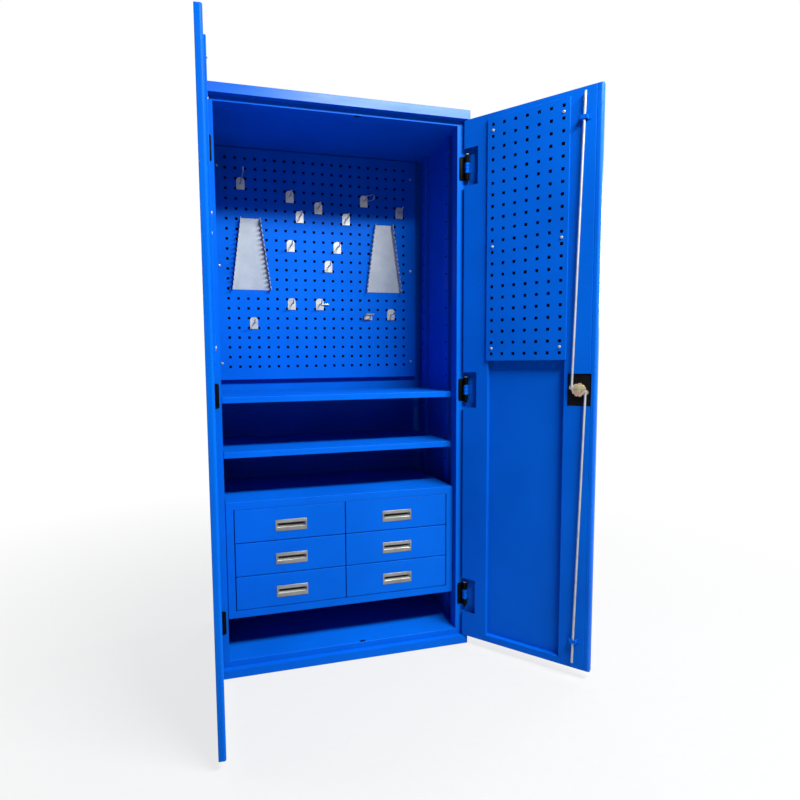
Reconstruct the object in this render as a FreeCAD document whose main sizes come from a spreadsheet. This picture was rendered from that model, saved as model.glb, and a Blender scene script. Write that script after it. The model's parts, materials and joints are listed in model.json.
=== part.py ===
import FreeCAD, Part
import math
import os
import Sketcher

os.makedirs("parts", exist_ok=True)
doc = FreeCAD.newDocument("tool_cabinet")
sheet = doc.addObject("Spreadsheet::Sheet", "Sizes")
V = FreeCAD.Vector

# Driving sizes in millimetres, angles in degrees, shares without unit
SIZES = [
    ("cabinet_width", 900.0),
    ("cabinet_depth", 450.0),
    ("cabinet_height", 1900.0),
    ("sheet", 1.2),
    ("fold_radius", 2.0),
    ("border_radius", 0.8),
    ("edge_slack", 0.01),
    ("cap_height", 30.0),
    ("plinth_height", 28.0),
    ("face_setback", 22.0),
    ("post_width", 38.0),
    ("post_return", 40.0),
    ("back_flange", 20.0),
    ("rail_drop", 17.0),
    ("sill_rise", 22.0),
    ("upright_width", 36.0),
    ("upright_depth", 14.0),
    ("front_upright_setback", 165.0),
    ("rear_upright_setback", 385.0),
    ("slot_width", 5.0),
    ("slot_height", 14.0),
    ("slot_pitch", 64.3),
    ("slot_margin", 47.0),
    ("board_setback", 426.0),
    ("board_sheet", 1.5),
    ("board_side_gap", 36.0),
    ("board_top_gap", 3.5),
    ("board_bottom_gap", 46.68),
    ("board_edge_margin", 53.0),
    ("board_end_margin", 38.5),
    ("hole_pitch", 38.0),
    ("hole_width", 10.0),
    ("hole_fit_share", 0.02),
    ("screw_head_radius", 5.5),
    ("screw_top_radius", 3.2),
    ("screw_head_height", 2.6),
    ("board_screw_inset", 22.0),
    ("hook_plate_width", 31.0),
    ("hook_plate_height", 45.0),
    ("hook_plate_sheet", 2.0),
    ("hook_corner_radius", 13.0),
    ("prong_radius", 2.5),
    ("prong_reach", 34.0),
    ("long_prong_reach", 140.0),
    ("prong_bend", 8.0),
    ("prong_tip", 10.0),
    ("prong_tip_angle", 60.0),
    ("ring_tab_width", 34.0),
    ("ring_tab_reach", 32.0),
    ("ring_hole_radius", 9.0),
    ("rack_top_width", 75.0),
    ("rack_bottom_width", 150.0),
    ("rack_height", 273.0),
    ("rack_depth", 25.0),
    ("rack_sheet", 1.5),
    ("rack_slot_height", 8.0),
    ("rack_slot_depth", 14.0),
    ("rack_slot_drop", 5.0),
    ("rack_slot_pitch", 18.0),
    ("rack_slot_margin", 8.0),
    ("rack_offset_share", 0.6546),
    ("rack_bottom_share", 0.7),
    ("shelf_side_gap", 2.0),
    ("shelf_setback", 62.0),
    ("shelf_back_gap", 10.0),
    ("shelf_lip", 20.0),
    ("upper_shelf_share", 0.491),
    ("lower_shelf_share", 0.394),
    ("clip_sheet", 2.0),
    ("clip_width", 18.0),
    ("clip_rise", 14.0),
    ("clip_reach", 35.0),
    ("housing_setback", 45.0),
    ("housing_back_gap", 20.0),
    ("housing_top_share", 0.3068),
    ("housing_bottom_share", 0.0963),
    ("housing_side_band", 25.5),
    ("housing_top_band", 27.0),
    ("housing_bottom_band", 26.0),
    ("divider_sheet", 2.0),
    ("drawer_gap", 2.5),
    ("drawer_front_depth", 18.0),
    ("drawer_front_lip", 22.0),
    ("tray_side_gap", 10.0),
    ("tray_rise", 9.0),
    ("tray_height_share", 0.74),
    ("tray_back_gap", 14.0),
    ("runner_sheet", 2.0),
    ("runner_height", 26.0),
    ("runner_overlap", 12.0),
    ("pull_width", 109.0),
    ("pull_height", 40.0),
    ("pull_drop", 6.4),
    ("pull_plate", 1.6),
    ("pull_corner_radius", 3.0),
    ("pull_recess_width", 95.0),
    ("pull_recess_height", 25.0),
    ("pull_depth", 13.0),
    ("pull_wall", 1.5),
    ("pull_fit", 0.3),
    ("door_depth", 20.0),
    ("door_gap", 3.0),
    ("meeting_gap", 4.0),
    ("hinge_inset", 7.0),
    ("door_edge", 6.0),
    ("right_door_angle", 128.9),
    ("left_door_angle", 91.1),
    ("hinge_stile", 80.3),
    ("meeting_stile", 93.3),
    ("window_lap", 6.0),
    ("window_end", 24.0),
    ("panel_top_gap", 18.0),
    ("panel_height", 806.9),
    ("panel_rise", 6.0),
    ("panel_side_margin", 18.5),
    ("panel_end_margin", 23.0),
    ("upper_hinge_share", 0.9),
    ("middle_hinge_share", 0.4947),
    ("lower_hinge_share", 0.0968),
    ("hinge_height", 90.0),
    ("knuckle_radius", 8.0),
    ("knuckle_height", 34.0),
    ("knuckle_gap", 0.5),
    ("hinge_pin_radius", 3.0),
    ("hinge_pin_head", 1.5),
    ("running_gap", 0.05),
    ("leaf_sheet", 2.0),
    ("leaf_reach", 16.0),
    ("leaf_corner_radius", 5.0),
    ("leaf_leg", 3.0),
    ("door_leaf_reach", 40.0),
    ("door_leaf_root", 3.0),
    ("hinge_notch_height", 125.0),
    ("hinge_notch_reach", 44.0),
    ("hinge_notch_depth", 2.5),
    ("lock_inset", 51.3),
    ("lock_height_share", 0.4989),
    ("lock_width", 69.5),
    ("lock_height", 100.5),
    ("lock_clearance", 1.2),
    ("lock_back", 17.0),
    ("lock_flange_lap", 8.0),
    ("lock_flange_sheet", 3.0),
    ("lock_cup_radius", 30.0),
    ("lock_cup_depth", 15.0),
    ("handle_clearance", 0.5),
    ("handle_disc", 4.0),
    ("handle_bar_width", 12.0),
    ("handle_bar_rise", 9.5),
    ("spindle_radius", 6.0),
    ("spindle_end", 22.0),
    ("cam_gap", 2.0),
    ("cam_sheet", 3.0),
    ("cam_disc_radius", 21.5),
    ("cam_lug_radius", 8.0),
    ("cam_pin_circle", 22.0),
    ("cam_pin_radius", 3.0),
    ("cam_pin_length", 7.5),
    ("cam_angle", 160.0),
    ("nut_radius", 9.0),
    ("nut_height", 4.0),
    ("rod_radius", 3.75),
    ("rod_eye_radius", 7.0),
    ("rod_eye_sheet", 4.0),
    ("rod_offset", 19.0),
    ("rod_end_gap", 3.0),
    ("rod_slot_length", 18.0),
    ("rod_slot_width", 12.0),
    ("guide_share", 0.9337),
    ("guide_sheet", 2.0),
    ("guide_half_width", 8.0),
    ("guide_foot", 8.0),
    ("guide_rise", 15.0),
    ("guide_length", 12.0),
]
for row, (name, value) in enumerate(SIZES, start=1):
    sheet.set(f"A{row}", name)
    sheet.set(f"B{row}", str(value))
    sheet.setAlias(f"B{row}", name)
doc.recompute()


class Size:
    """A size with its number and the sheet formula that it comes from."""

    def __init__(self, value, text):
        self.value = value
        self.text = text

    def __add__(self, other):
        other = plain(other)
        return Size(self.value + other.value, f"({self.text} + {other.text})")

    def __sub__(self, other):
        other = plain(other)
        return Size(self.value - other.value, f"({self.text} - {other.text})")

    def __mul__(self, other):
        other = plain(other)
        return Size(self.value * other.value, f"({self.text} * {other.text})")

    def __truediv__(self, other):
        other = plain(other)
        return Size(self.value / other.value, f"({self.text} / {other.text})")

    def __neg__(self):
        return Size(-self.value, f"(0 - {self.text})")


def plain(number):
    """A bare count or zero as a Size."""
    return number if isinstance(number, Size) else Size(float(number), str(float(number)))


def cell(name):
    """The sheet cell with this alias."""
    return Size(float(sheet.get(name)), "Sizes." + name)


def turned(length, angle):
    """A length turned by an angle, as its share along and across."""
    radians = math.radians(angle.value)
    along = Size(length.value * math.cos(radians), f"({length.text} * cos({angle.text} * 1 deg))")
    across = Size(length.value * math.sin(radians), f"({length.text} * sin({angle.text} * 1 deg))")
    return along, across


def box(low, high):
    """A block between two corners."""
    block = doc.addObject("Part::Box", "block")
    for axis, prop, a, b in zip("xyz", ("Length", "Width", "Height"), low, high):
        block.setExpression(prop, (plain(b) - a).text)
        block.setExpression("Placement.Base." + axis, plain(a).text)
    return block


def cylinder(radius, length, base, direction):
    """A round bar from a base point along a direction."""
    bar = doc.addObject("Part::Cylinder", "bar")
    bar.setExpression("Radius", radius.text)
    bar.setExpression("Height", length.text)
    bar.Placement = FreeCAD.Placement(V(), FreeCAD.Rotation(V(0, 0, 1), direction))
    for axis, place in zip("xyz", base):
        bar.setExpression("Placement.Base." + axis, plain(place).text)
    return bar


def screw_head(base, direction):
    """A low tapered screw head seated on a face."""
    head = doc.addObject("Part::Cone", "head")
    head.setExpression("Radius1", cell("screw_head_radius").text)
    head.setExpression("Radius2", cell("screw_top_radius").text)
    head.setExpression("Height", cell("screw_head_height").text)
    head.Placement = FreeCAD.Placement(V(), FreeCAD.Rotation(V(0, 0, 1), direction))
    for axis, place in zip("xyz", base):
        head.setExpression("Placement.Base." + axis, plain(place).text)
    return head


def group(pieces):
    """Several separate solids as one object."""
    result = doc.addObject("Part::Compound", "group")
    result.Links = pieces
    return result


def fuse(pieces):
    """Several blocks joined into one solid."""
    result = doc.addObject("Part::MultiFuse", "joined")
    result.Shapes = pieces
    result.Refine = True
    return result


def cut(base, tools):
    """A solid less one or more tools."""
    result = doc.addObject("Part::Cut", "cut")
    result.Base = base
    result.Tool = tools[0] if len(tools) == 1 else group(tools)
    return result


def along(**planes):
    """Picks the edges that lie in all these planes, such as Y=front, Z=top."""

    def lies(edge):
        return all(
            abs(getattr(edge.BoundBox, axis + end) - plane.value) < cell("edge_slack").value
            for axis, plane in planes.items() for end in ("Min", "Max")
        )

    return lies


def rounded(thing, radius, *lines):
    """A solid with the edges on these lines rounded."""
    doc.recompute()
    result = doc.addObject("Part::Fillet", "rounded")
    result.Base = thing
    result.Edges = [
        (index, radius.value, radius.value)
        for index, edge in enumerate(thing.Shape.Edges, start=1)
        if any(line(edge) for line in lines)
    ]
    return result


def feature(shape):
    """A shape made directly from sheet sizes."""
    result = doc.addObject("Part::Feature", "shape")
    result.Shape = shape
    return result


def origin_plane(body, role):
    """The body's own base plane with this role."""
    return [plane for plane in body.Origin.OriginFeatures if plane.Role == role][0]


def loop_sketch(body, role, start, *loops):
    """A sketch of closed straight-sided loops on a base plane of the body."""
    sketch = body.newObject("Sketcher::SketchObject", "outline")
    sketch.AttachmentSupport = [(origin_plane(body, role), "")]
    sketch.MapMode = "FlatFace"
    sketch.setExpression("AttachmentOffset.Base.z", plain(start).text)
    for loop in loops:
        loop = [(plain(x), plain(y)) for x, y in loop]
        first = sketch.GeometryCount
        count = len(loop)
        corners = [V(x.value, y.value, 0) for x, y in loop]
        lines = [Part.LineSegment(corners[i], corners[(i + 1) % count]) for i in range(count)]
        sketch.addGeometry(lines, False)
        joins = [
            Sketcher.Constraint("Coincident", first + i, 2, first + (i + 1) % count, 1)
            for i in range(count)
        ]
        sketch.addConstraint(joins)
        for i, corner in enumerate(loop):
            for kind, place in zip(("DistanceX", "DistanceY"), corner):
                index = sketch.addConstraint(Sketcher.Constraint(kind, first + i, 1, place.value))
                sketch.setExpression(f"Constraints[{index}]", place.text)
    return sketch


def pad(body, sketch, length, backwards=False):
    """A sketch pushed out into a solid."""
    result = body.newObject("PartDesign::Pad", "pad")
    result.Profile = sketch
    result.setExpression("Length", length.text)
    result.Reversed = backwards
    sketch.Visibility = False
    return result


def profile(role, start, length, loop):
    """A folded sheet section pushed along its length."""
    body = doc.addObject("PartDesign::Body", "section")
    pad(body, loop_sketch(body, role, start, loop), length)
    return body


def fits(space, pitch):
    """How many holes of this pitch fit in a space."""
    return max(int(space.value / pitch.value + cell("hole_fit_share").value), 0) + 1


def perforated(low, high, depth, first, pitch, hole, counts):
    """A flat sheet with a grid of square holes, from its low to its high corner in X and Z."""

    def ring(x0, z0, x1, z1):
        return Part.makePolygon([V(x0, 0, z0), V(x1, 0, z0), V(x1, 0, z1), V(x0, 0, z1), V(x0, 0, z0)])

    wires = [ring(low[0].value, low[1].value, high[0].value, high[1].value)]
    half_x = min(hole[0].value, pitch[0].value / 2) / 2
    half_z = min(hole[1].value, pitch[1].value / 2) / 2
    for column in range(counts[0]):
        for row in range(counts[1]):
            x = first[0].value + column * pitch[0].value
            z = first[1].value - row * pitch[1].value
            wires.append(ring(x - half_x, z + half_z, x + half_x, z - half_z))
    face = Part.makeFace(wires, "Part::FaceMakerCheese")
    solid = face.extrude(V(0, depth[1].value - depth[0].value, 0))
    solid.translate(V(0, depth[0].value, 0))
    return solid


nodes = {}


def keep(name, thing):
    """Name a finished sub-part."""
    thing.Label = name
    nodes[name] = thing
    return thing


# Main planes of the cabinet, with the origin on the floor in the middle of the footprint
sheet_t = cell("sheet")
half_width = cell("cabinet_width") / 2
front = -(cell("cabinet_depth") / 2)
back = cell("cabinet_depth") / 2
top = cell("cabinet_height")
cap_bottom = top - cell("cap_height")
plinth_top = cell("plinth_height")
post_face = front + cell("face_setback")
post_inner = half_width - cell("post_width")
return_end = post_face + cell("post_return")
rail_bottom = cap_bottom - cell("rail_drop")
floor_top = plinth_top + cell("sill_rise")
wall_inner = half_width - sheet_t
panel_front = back - sheet_t * 2
hinge_x = half_width - cell("hinge_inset")
hinge_y = front + cell("door_depth") / 2
fold = cell("fold_radius")
border = cell("border_radius")

# Lock and rod positions measured from the hinge axis of a closed door
half_door = cell("door_depth") / 2
door_reach = hinge_x - cell("meeting_gap") / 2
door_low = plinth_top + cell("door_gap")
door_high = cap_bottom - cell("door_gap")
lock_reach = door_reach - cell("lock_inset")
lock_z = top * cell("lock_height_share")
rod_x = hinge_x - lock_reach
rod_y = hinge_y + cell("rod_offset")

# Tray and cap closed on four sides, with rounded folds
footprint_corners = [along(X=x, Y=y) for x in (-half_width, half_width) for y in (front, back)]
plinth_block = box((-half_width, front, 0), (half_width, back, plinth_top))
keep("base_plinth", cut(
    rounded(plinth_block, fold, *footprint_corners),
    [box((-wall_inner, front + sheet_t, sheet_t), (wall_inner, back - sheet_t, plinth_top))],
))
cap_block = box((-half_width, front, cap_bottom), (half_width, back, top))
cap_folds = [along(X=x, Z=top) for x in (-half_width, half_width)]
cap_folds += [along(Y=y, Z=top) for y in (front, back)]
keep("top_cap", cut(
    rounded(cap_block, fold, *footprint_corners, *cap_folds),
    [box((-wall_inner, front + sheet_t, cap_bottom), (wall_inner, back - sheet_t, top - sheet_t))],
))

# Slots that take the ends of the lock rods
slot_low_x = rod_x - cell("rod_slot_length") / 2
slot_high_x = rod_x + cell("rod_slot_length") / 2
slot_low_y = rod_y - cell("rod_slot_width") / 2
slot_high_y = rod_y + cell("rod_slot_width") / 2


def post_notch(sign, low, high):
    """The corner that a folded post takes out of the floor or ceiling pan."""
    near, far = (-half_width, -post_inner) if sign < 0 else (post_inner, half_width)
    return box((near, post_face, low), (far, return_end, high))


# Floor pan with its ledge, sill and floor
floor_section = profile("YZ_Plane", -wall_inner, wall_inner * 2, [
    (front + sheet_t, plinth_top - sheet_t),
    (post_face + sheet_t, plinth_top - sheet_t),
    (post_face + sheet_t, floor_top - sheet_t),
    (panel_front, floor_top - sheet_t),
    (panel_front, floor_top),
    (post_face, floor_top),
    (post_face, plinth_top),
    (front + sheet_t, plinth_top),
])
sill_fold = along(Y=post_face, Z=floor_top)
keep("floor_pan", cut(rounded(floor_section, fold, sill_fold), [
    post_notch(-1, plinth_top, floor_top),
    post_notch(1, plinth_top, floor_top),
    box((slot_low_x, slot_low_y, floor_top - sheet_t), (slot_high_x, slot_high_y, floor_top)),
]))

# Ceiling pan with its ledge, hanging front rail and ceiling
ceiling_section = profile("YZ_Plane", -wall_inner, wall_inner * 2, [
    (front + sheet_t, cap_bottom),
    (post_face, cap_bottom),
    (post_face, rail_bottom),
    (return_end, rail_bottom),
    (return_end, cap_bottom),
    (back - sheet_t, cap_bottom),
    (back - sheet_t, cap_bottom + sheet_t),
    (return_end - sheet_t, cap_bottom + sheet_t),
    (return_end - sheet_t, rail_bottom + sheet_t),
    (post_face + sheet_t, rail_bottom + sheet_t),
    (post_face + sheet_t, cap_bottom + sheet_t),
    (front + sheet_t, cap_bottom + sheet_t),
])
keep("ceiling_pan", cut(ceiling_section, [
    post_notch(-1, rail_bottom, cap_bottom),
    post_notch(1, rail_bottom, cap_bottom),
    box((slot_low_x, slot_low_y, rail_bottom), (slot_high_x, slot_high_y, rail_bottom + sheet_t)),
]))

# Side panels folded into a front post and a back flange
flange_end = half_width - cell("back_flange")
side_loop = [
    (flange_end, back),
    (half_width, back),
    (half_width, post_face),
    (post_inner, post_face),
    (post_inner, return_end),
    (post_inner + sheet_t, return_end),
    (post_inner + sheet_t, post_face + sheet_t),
    (wall_inner, post_face + sheet_t),
    (wall_inner, back - sheet_t),
    (flange_end, back - sheet_t),
]
side_height = cap_bottom - plinth_top
for name, sign in (("left_side_panel", -1), ("right_side_panel", 1)):
    keep(name, profile("XY_Plane", plinth_top, side_height, [(x * sign, y) for x, y in side_loop]))
keep("back_panel", box((-wall_inner, panel_front, plinth_top), (wall_inner, back - sheet_t, cap_bottom)))

# Slotted uprights on the side walls, made as sheets with a row of slots and two flanges
upright_low = floor_top
upright_high = cap_bottom
upright_face = wall_inner - cell("upright_depth")
upright_y = [front + cell("front_upright_setback"), front + cell("rear_upright_setback")]
slot_count = fits(upright_high - upright_low - cell("slot_margin") * 2, cell("slot_pitch"))


def upright(sign, middle):
    """One upright, with its slotted web towards the room inside."""
    half = cell("upright_width") / 2
    web = perforated(
        (-half, upright_low), (half, upright_high), (plain(0), sheet_t),
        (plain(0), upright_high - cell("slot_margin")), (cell("slot_pitch"), cell("slot_pitch")),
        (cell("slot_width"), cell("slot_height")), (1, slot_count),
    )
    depth = cell("upright_depth").value
    height = (upright_high - upright_low).value
    for edge in (-half.value, half.value - sheet_t.value):
        web = web.fuse(Part.makeBox(sheet_t.value, depth, height, V(edge, 0, upright_low.value)))
    web.rotate(V(), V(0, 0, 1), -sign * math.degrees(math.pi / 2))
    web.translate(V(sign * upright_face.value, middle.value, 0))
    return web


keep("shelf_uprights", feature(Part.makeCompound(
    [upright(sign, middle) for sign in (-1, 1) for middle in upright_y]
)))

# Perforated tool panel standing off the back on two folded edges
board_half = half_width - cell("board_side_gap")
board_high = cap_bottom - cell("board_top_gap")
board_low = top * cell("upper_shelf_share") + cell("board_bottom_gap")
board_front = front + cell("board_setback")
pitch = cell("hole_pitch")
board_columns = fits((board_half - cell("board_edge_margin")) * 2, pitch)
board_rows = fits(board_high - board_low - cell("board_end_margin") * 2, pitch)
board_first_x = -(pitch * (board_columns - 1) / 2)
board_first_z = board_high - cell("board_end_margin")
board = perforated(
    (-board_half, board_low), (board_half, board_high),
    (board_front, board_front + cell("board_sheet")),
    (board_first_x, board_first_z), (pitch, pitch), (cell("hole_width"), cell("hole_width")),
    (board_columns, board_rows),
)
for edge in (-board_half, board_half - cell("board_sheet")):
    board = board.fuse(Part.makeBox(
        cell("board_sheet").value, (panel_front - board_front).value, (board_high - board_low).value,
        V(edge.value, board_front.value, board_low.value),
    ))
keep("tool_panel", feature(board))

# Screws of the tool panel, three to a side
screw_row_shares = [0.0803, 0.502, 0.928]
FORWARD = V(0, -1, 0)
BACKWARD = V(0, 1, 0)
screw_x = board_half - cell("board_screw_inset")
keep("tool_panel_screws", group([
    screw_head((x, board_front, board_high - (board_high - board_low) * share), FORWARD)
    for x in (-screw_x, screw_x) for share in screw_row_shares
]))

# Places of the hooks as shares of the hole grid, across and down
HOOK_SHARES = [
    (0.079, 0.119), (0.342, 0.167), (0.395, 0.262), (0.5, 0.214), (0.658, 0.262),
    (0.763, 0.167), (0.974, 0.214), (0.342, 0.405), (0.605, 0.405), (0.553, 0.5),
    (0.342, 0.69), (0.5, 0.69), (0.132, 0.786), (0.921, 0.738),
]
LONG_HOOK_SHARES = HOOK_SHARES[0]
RING_SHARES = (0.783, 0.738)
plate_front = board_front - cell("hook_plate_sheet")


def grid_spot(shares):
    """A place on the hole grid in X and Z."""
    x = board_first_x + pitch * (board_columns - 1) * shares[0]
    z = board_first_z - pitch * (board_rows - 1) * shares[1]
    return x, z


def hook_plate_body():
    """The plate of a hook about its own middle, with rounded top corners."""
    half = cell("hook_plate_width") / 2
    rise = cell("hook_plate_height") / 2
    body = doc.addObject("PartDesign::Body", "hook_plate")
    loop = [(-half, -rise), (half, -rise), (half, rise), (-half, rise)]
    plate = pad(body, loop_sketch(body, "XZ_Plane", 0, loop), cell("hook_plate_sheet"))
    doc.recompute()
    corners = [
        f"Edge{index}" for index, edge in enumerate(plate.Shape.Edges, start=1)
        if edge.BoundBox.ZMin > 0 and edge.BoundBox.XLength < sheet_t.value / 2 < edge.BoundBox.YLength
    ]
    fillet = body.newObject("PartDesign::Fillet", "rounded")
    fillet.Base = (plate, corners)
    fillet.setExpression("Radius", cell("hook_corner_radius").text)
    return body


def prong_shape(reach):
    """The wire prong of a hook from its plate, bent up at its end."""
    radius = cell("prong_radius").value
    bend = cell("prong_bend").value
    angle = math.radians(cell("prong_tip_angle").value)
    start = V(0, 0, 0)
    turn = V(0, -reach.value, 0)
    middle = turn + V(0, -math.sin(angle / 2), 1 - math.cos(angle / 2)) * bend
    out = turn + V(0, -math.sin(angle), 1 - math.cos(angle)) * bend
    tip = out + V(0, -math.cos(angle), math.sin(angle)) * cell("prong_tip").value
    path = Part.Wire([
        Part.makeLine(start, turn), Part.Arc(turn, middle, out).toShape(), Part.makeLine(out, tip),
    ])
    ring = Part.Wire([Part.makeCircle(radius, start, FORWARD)])
    return path.makePipeShell([ring], True, False)


plate_body = hook_plate_body()
doc.recompute()
plate_shape = plate_body.Shape
short_wire = prong_shape(cell("prong_reach"))
long_wire = prong_shape(cell("long_prong_reach"))
plates = []
prongs = []
for shares in HOOK_SHARES:
    x, z = grid_spot(shares)
    plates.append(plate_shape.translated(V(x.value, board_front.value, z.value)))
    wire = long_wire if shares == LONG_HOOK_SHARES else short_wire
    prongs.append(wire.translated(V(x.value, plate_front.value, z.value)))
keep("hook_plates", feature(Part.makeCompound(plates)))
keep("hook_prongs", feature(Part.makeCompound(prongs)))

# Flat ring that a screwdriver hangs in
ring_x, ring_z = grid_spot(RING_SHARES)
ring_half = cell("ring_tab_width") / 2
ring_rise = cell("hook_plate_height") / 2
tab_front = plate_front - cell("ring_tab_reach")
tab_low = ring_z - cell("hook_plate_sheet")
keep("tool_ring", cut(
    fuse([
        box((ring_x - ring_half, plate_front, ring_z - ring_rise), (ring_x + ring_half, board_front, ring_z)),
        box((ring_x - ring_half, tab_front, tab_low), (ring_x + ring_half, board_front, ring_z)),
    ]),
    [cylinder(
        cell("ring_hole_radius"), cell("hook_plate_sheet") * 2,
        (ring_x, (tab_front + plate_front) / 2, tab_low - cell("hook_plate_sheet") / 2), V(0, 0, 1),
    )],
))


def spanner_rack(sign):
    """A tapering back plate with two forward flanges, notched for the tools that lie across them."""
    low = top * cell("rack_bottom_share")
    high = low + cell("rack_height")
    wall = cell("rack_sheet")
    half_low = cell("rack_bottom_width") / 2
    half_high = cell("rack_top_width") / 2
    lean = wall * ((half_low - half_high) / cell("rack_height"))
    rack_front = board_front - cell("rack_depth")
    body = doc.addObject("PartDesign::Body", "rack")
    outer = [(-half_low, low), (half_low, low), (half_high, high), (-half_high, high)]
    inner_low = half_low + lean - wall
    inner_high = half_high - lean - wall
    inner = [
        (-inner_low, low - wall), (inner_low, low - wall),
        (inner_high, high + wall), (-inner_high, high + wall),
    ]
    pad(body, loop_sketch(body, "XZ_Plane", -board_front, outer), cell("rack_depth"))
    hollow = body.newObject("PartDesign::Pocket", "hollow")
    hollow.Profile = loop_sketch(body, "XZ_Plane", -rack_front, inner)
    hollow.setExpression("Length", (cell("rack_depth") - wall).text)
    slot_low = low + cell("rack_slot_margin")
    slot_high = slot_low + cell("rack_slot_height")
    slot_end = rack_front + cell("rack_slot_depth")
    drop = cell("rack_slot_drop")
    slot = body.newObject("PartDesign::Pocket", "slot")
    slot.Profile = loop_sketch(body, "YZ_Plane", -half_low, [
        (rack_front - wall, slot_low + drop), (slot_end, slot_low),
        (slot_end, slot_high), (rack_front - wall, slot_high + drop),
    ])
    slot.setExpression("Length", (half_low * 2).text)
    slot.Reversed = True
    row = body.newObject("PartDesign::LinearPattern", "slots")
    row.Originals = [slot]
    row.Direction = (slot.Profile[0], ["V_Axis"])
    count = fits(high - slot_high - drop - cell("rack_slot_margin"), cell("rack_slot_pitch"))
    row.Occurrences = count
    row.setExpression("Length", (cell("rack_slot_pitch") * (count - 1)).text)
    body.Tip = row
    middle = board_half * cell("rack_offset_share") * sign
    body.setExpression("Placement.Base.x", middle.text)
    return body


keep("left_spanner_rack", spanner_rack(-1))
keep("right_spanner_rack", spanner_rack(1))

# Shelves as turned-down trays, and the drawer housing between the same clips
shelf_half = post_inner - cell("shelf_side_gap")
shelf_front = front + cell("shelf_setback")
shelf_back = panel_front - cell("shelf_back_gap")
lip = cell("shelf_lip")
shelf_tops = {"upper_shelf": top * cell("upper_shelf_share"), "lower_shelf": top * cell("lower_shelf_share")}
for name, level in shelf_tops.items():
    shelf_block = box((-shelf_half, shelf_front, level - lip), (shelf_half, shelf_back, level))
    shelf_folds = [along(Y=shelf_front, Z=level)]
    shelf_folds += [along(X=x, Z=level) for x in (-shelf_half, shelf_half)]
    shelf_folds += [along(X=x, Y=shelf_front) for x in (-shelf_half, shelf_half)]
    keep(name, cut(
        rounded(shelf_block, fold, *shelf_folds),
        [box(
            (sheet_t - shelf_half, shelf_front + sheet_t, level - lip),
            (shelf_half - sheet_t, shelf_back - sheet_t, level - sheet_t),
        )],
    ))

housing_low = top * cell("housing_bottom_share")
housing_high = top * cell("housing_top_share")
housing_front = front + cell("housing_setback")
housing_back = back - cell("housing_back_gap")
bay_half = shelf_half - cell("housing_side_band")
bay_low = housing_low + cell("housing_bottom_band")
bay_high = housing_high - cell("housing_top_band")
housing_block = box((-shelf_half, housing_front, housing_low), (shelf_half, housing_back, housing_high))
housing_folds = [along(Y=housing_front, Z=z) for z in (housing_low, housing_high)]
housing_folds += [along(X=x, Y=housing_front) for x in (-shelf_half, shelf_half)]
housing_folds += [along(X=x, Z=z) for x in (-shelf_half, shelf_half) for z in (housing_low, housing_high)]
keep("drawer_housing", cut(
    rounded(housing_block, fold, *housing_folds),
    [
        box(
            (sheet_t - shelf_half, housing_front + sheet_t, housing_low + sheet_t),
            (shelf_half - sheet_t, housing_back - sheet_t, housing_high - sheet_t),
        ),
        box((-bay_half, housing_front, bay_low), (bay_half, housing_front + sheet_t, bay_high)),
    ],
))

# Clips that hook into the uprights and carry the shelves and the housing
clip_t = cell("clip_sheet")
clip_half = cell("clip_width") / 2
clips = []
for level in [shelf_tops["upper_shelf"] - lip, shelf_tops["lower_shelf"] - lip, housing_low]:
    clip_loop = [
        (upright_face - cell("clip_reach"), level - clip_t),
        (upright_face, level - clip_t),
        (upright_face, level + cell("clip_rise")),
        (upright_face - clip_t, level + cell("clip_rise")),
        (upright_face - clip_t, level),
        (upright_face - cell("clip_reach"), level),
    ]
    for sign in (-1, 1):
        for middle in upright_y:
            loop = [(x * sign, z) for x, z in clip_loop]
            clips.append(profile("XZ_Plane", -(middle + clip_half), cell("clip_width"), loop))
keep("shelf_clips", group(clips))

# Divider between the two rows of drawers
divider_half = cell("divider_sheet") / 2
divider_front = housing_front + cell("drawer_front_depth") + sheet_t
keep("drawer_divider", box(
    (-divider_half, divider_front, housing_low + sheet_t),
    (divider_half, housing_back - sheet_t, housing_high - sheet_t),
))

# Six drawers, each with a folded front, a tray and a recessed pull
gap = cell("drawer_gap")
step = (bay_high - bay_low) / 3
front_height = step - gap
front_width = bay_half - gap * 3 / 2
tray_front = housing_front + cell("drawer_front_depth")
tray_back = housing_back - cell("tray_back_gap")
tray_half = front_width / 2 - cell("tray_side_gap")
run_t = cell("runner_sheet")
runners = []


def runner(wall, edge, level):
    """An angle from a wall to just under the edge of a tray."""
    sense = 1 if edge.value > wall.value else -1
    tip = edge + cell("runner_overlap") * sense
    inside = wall + run_t * sense
    loop = [
        (wall, level - run_t), (tip, level - run_t), (tip, level), (inside, level),
        (inside, level + cell("runner_height")), (wall, level + cell("runner_height")),
    ]
    return profile("XZ_Plane", -tray_back, tray_back - tray_front - run_t, loop)


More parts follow.
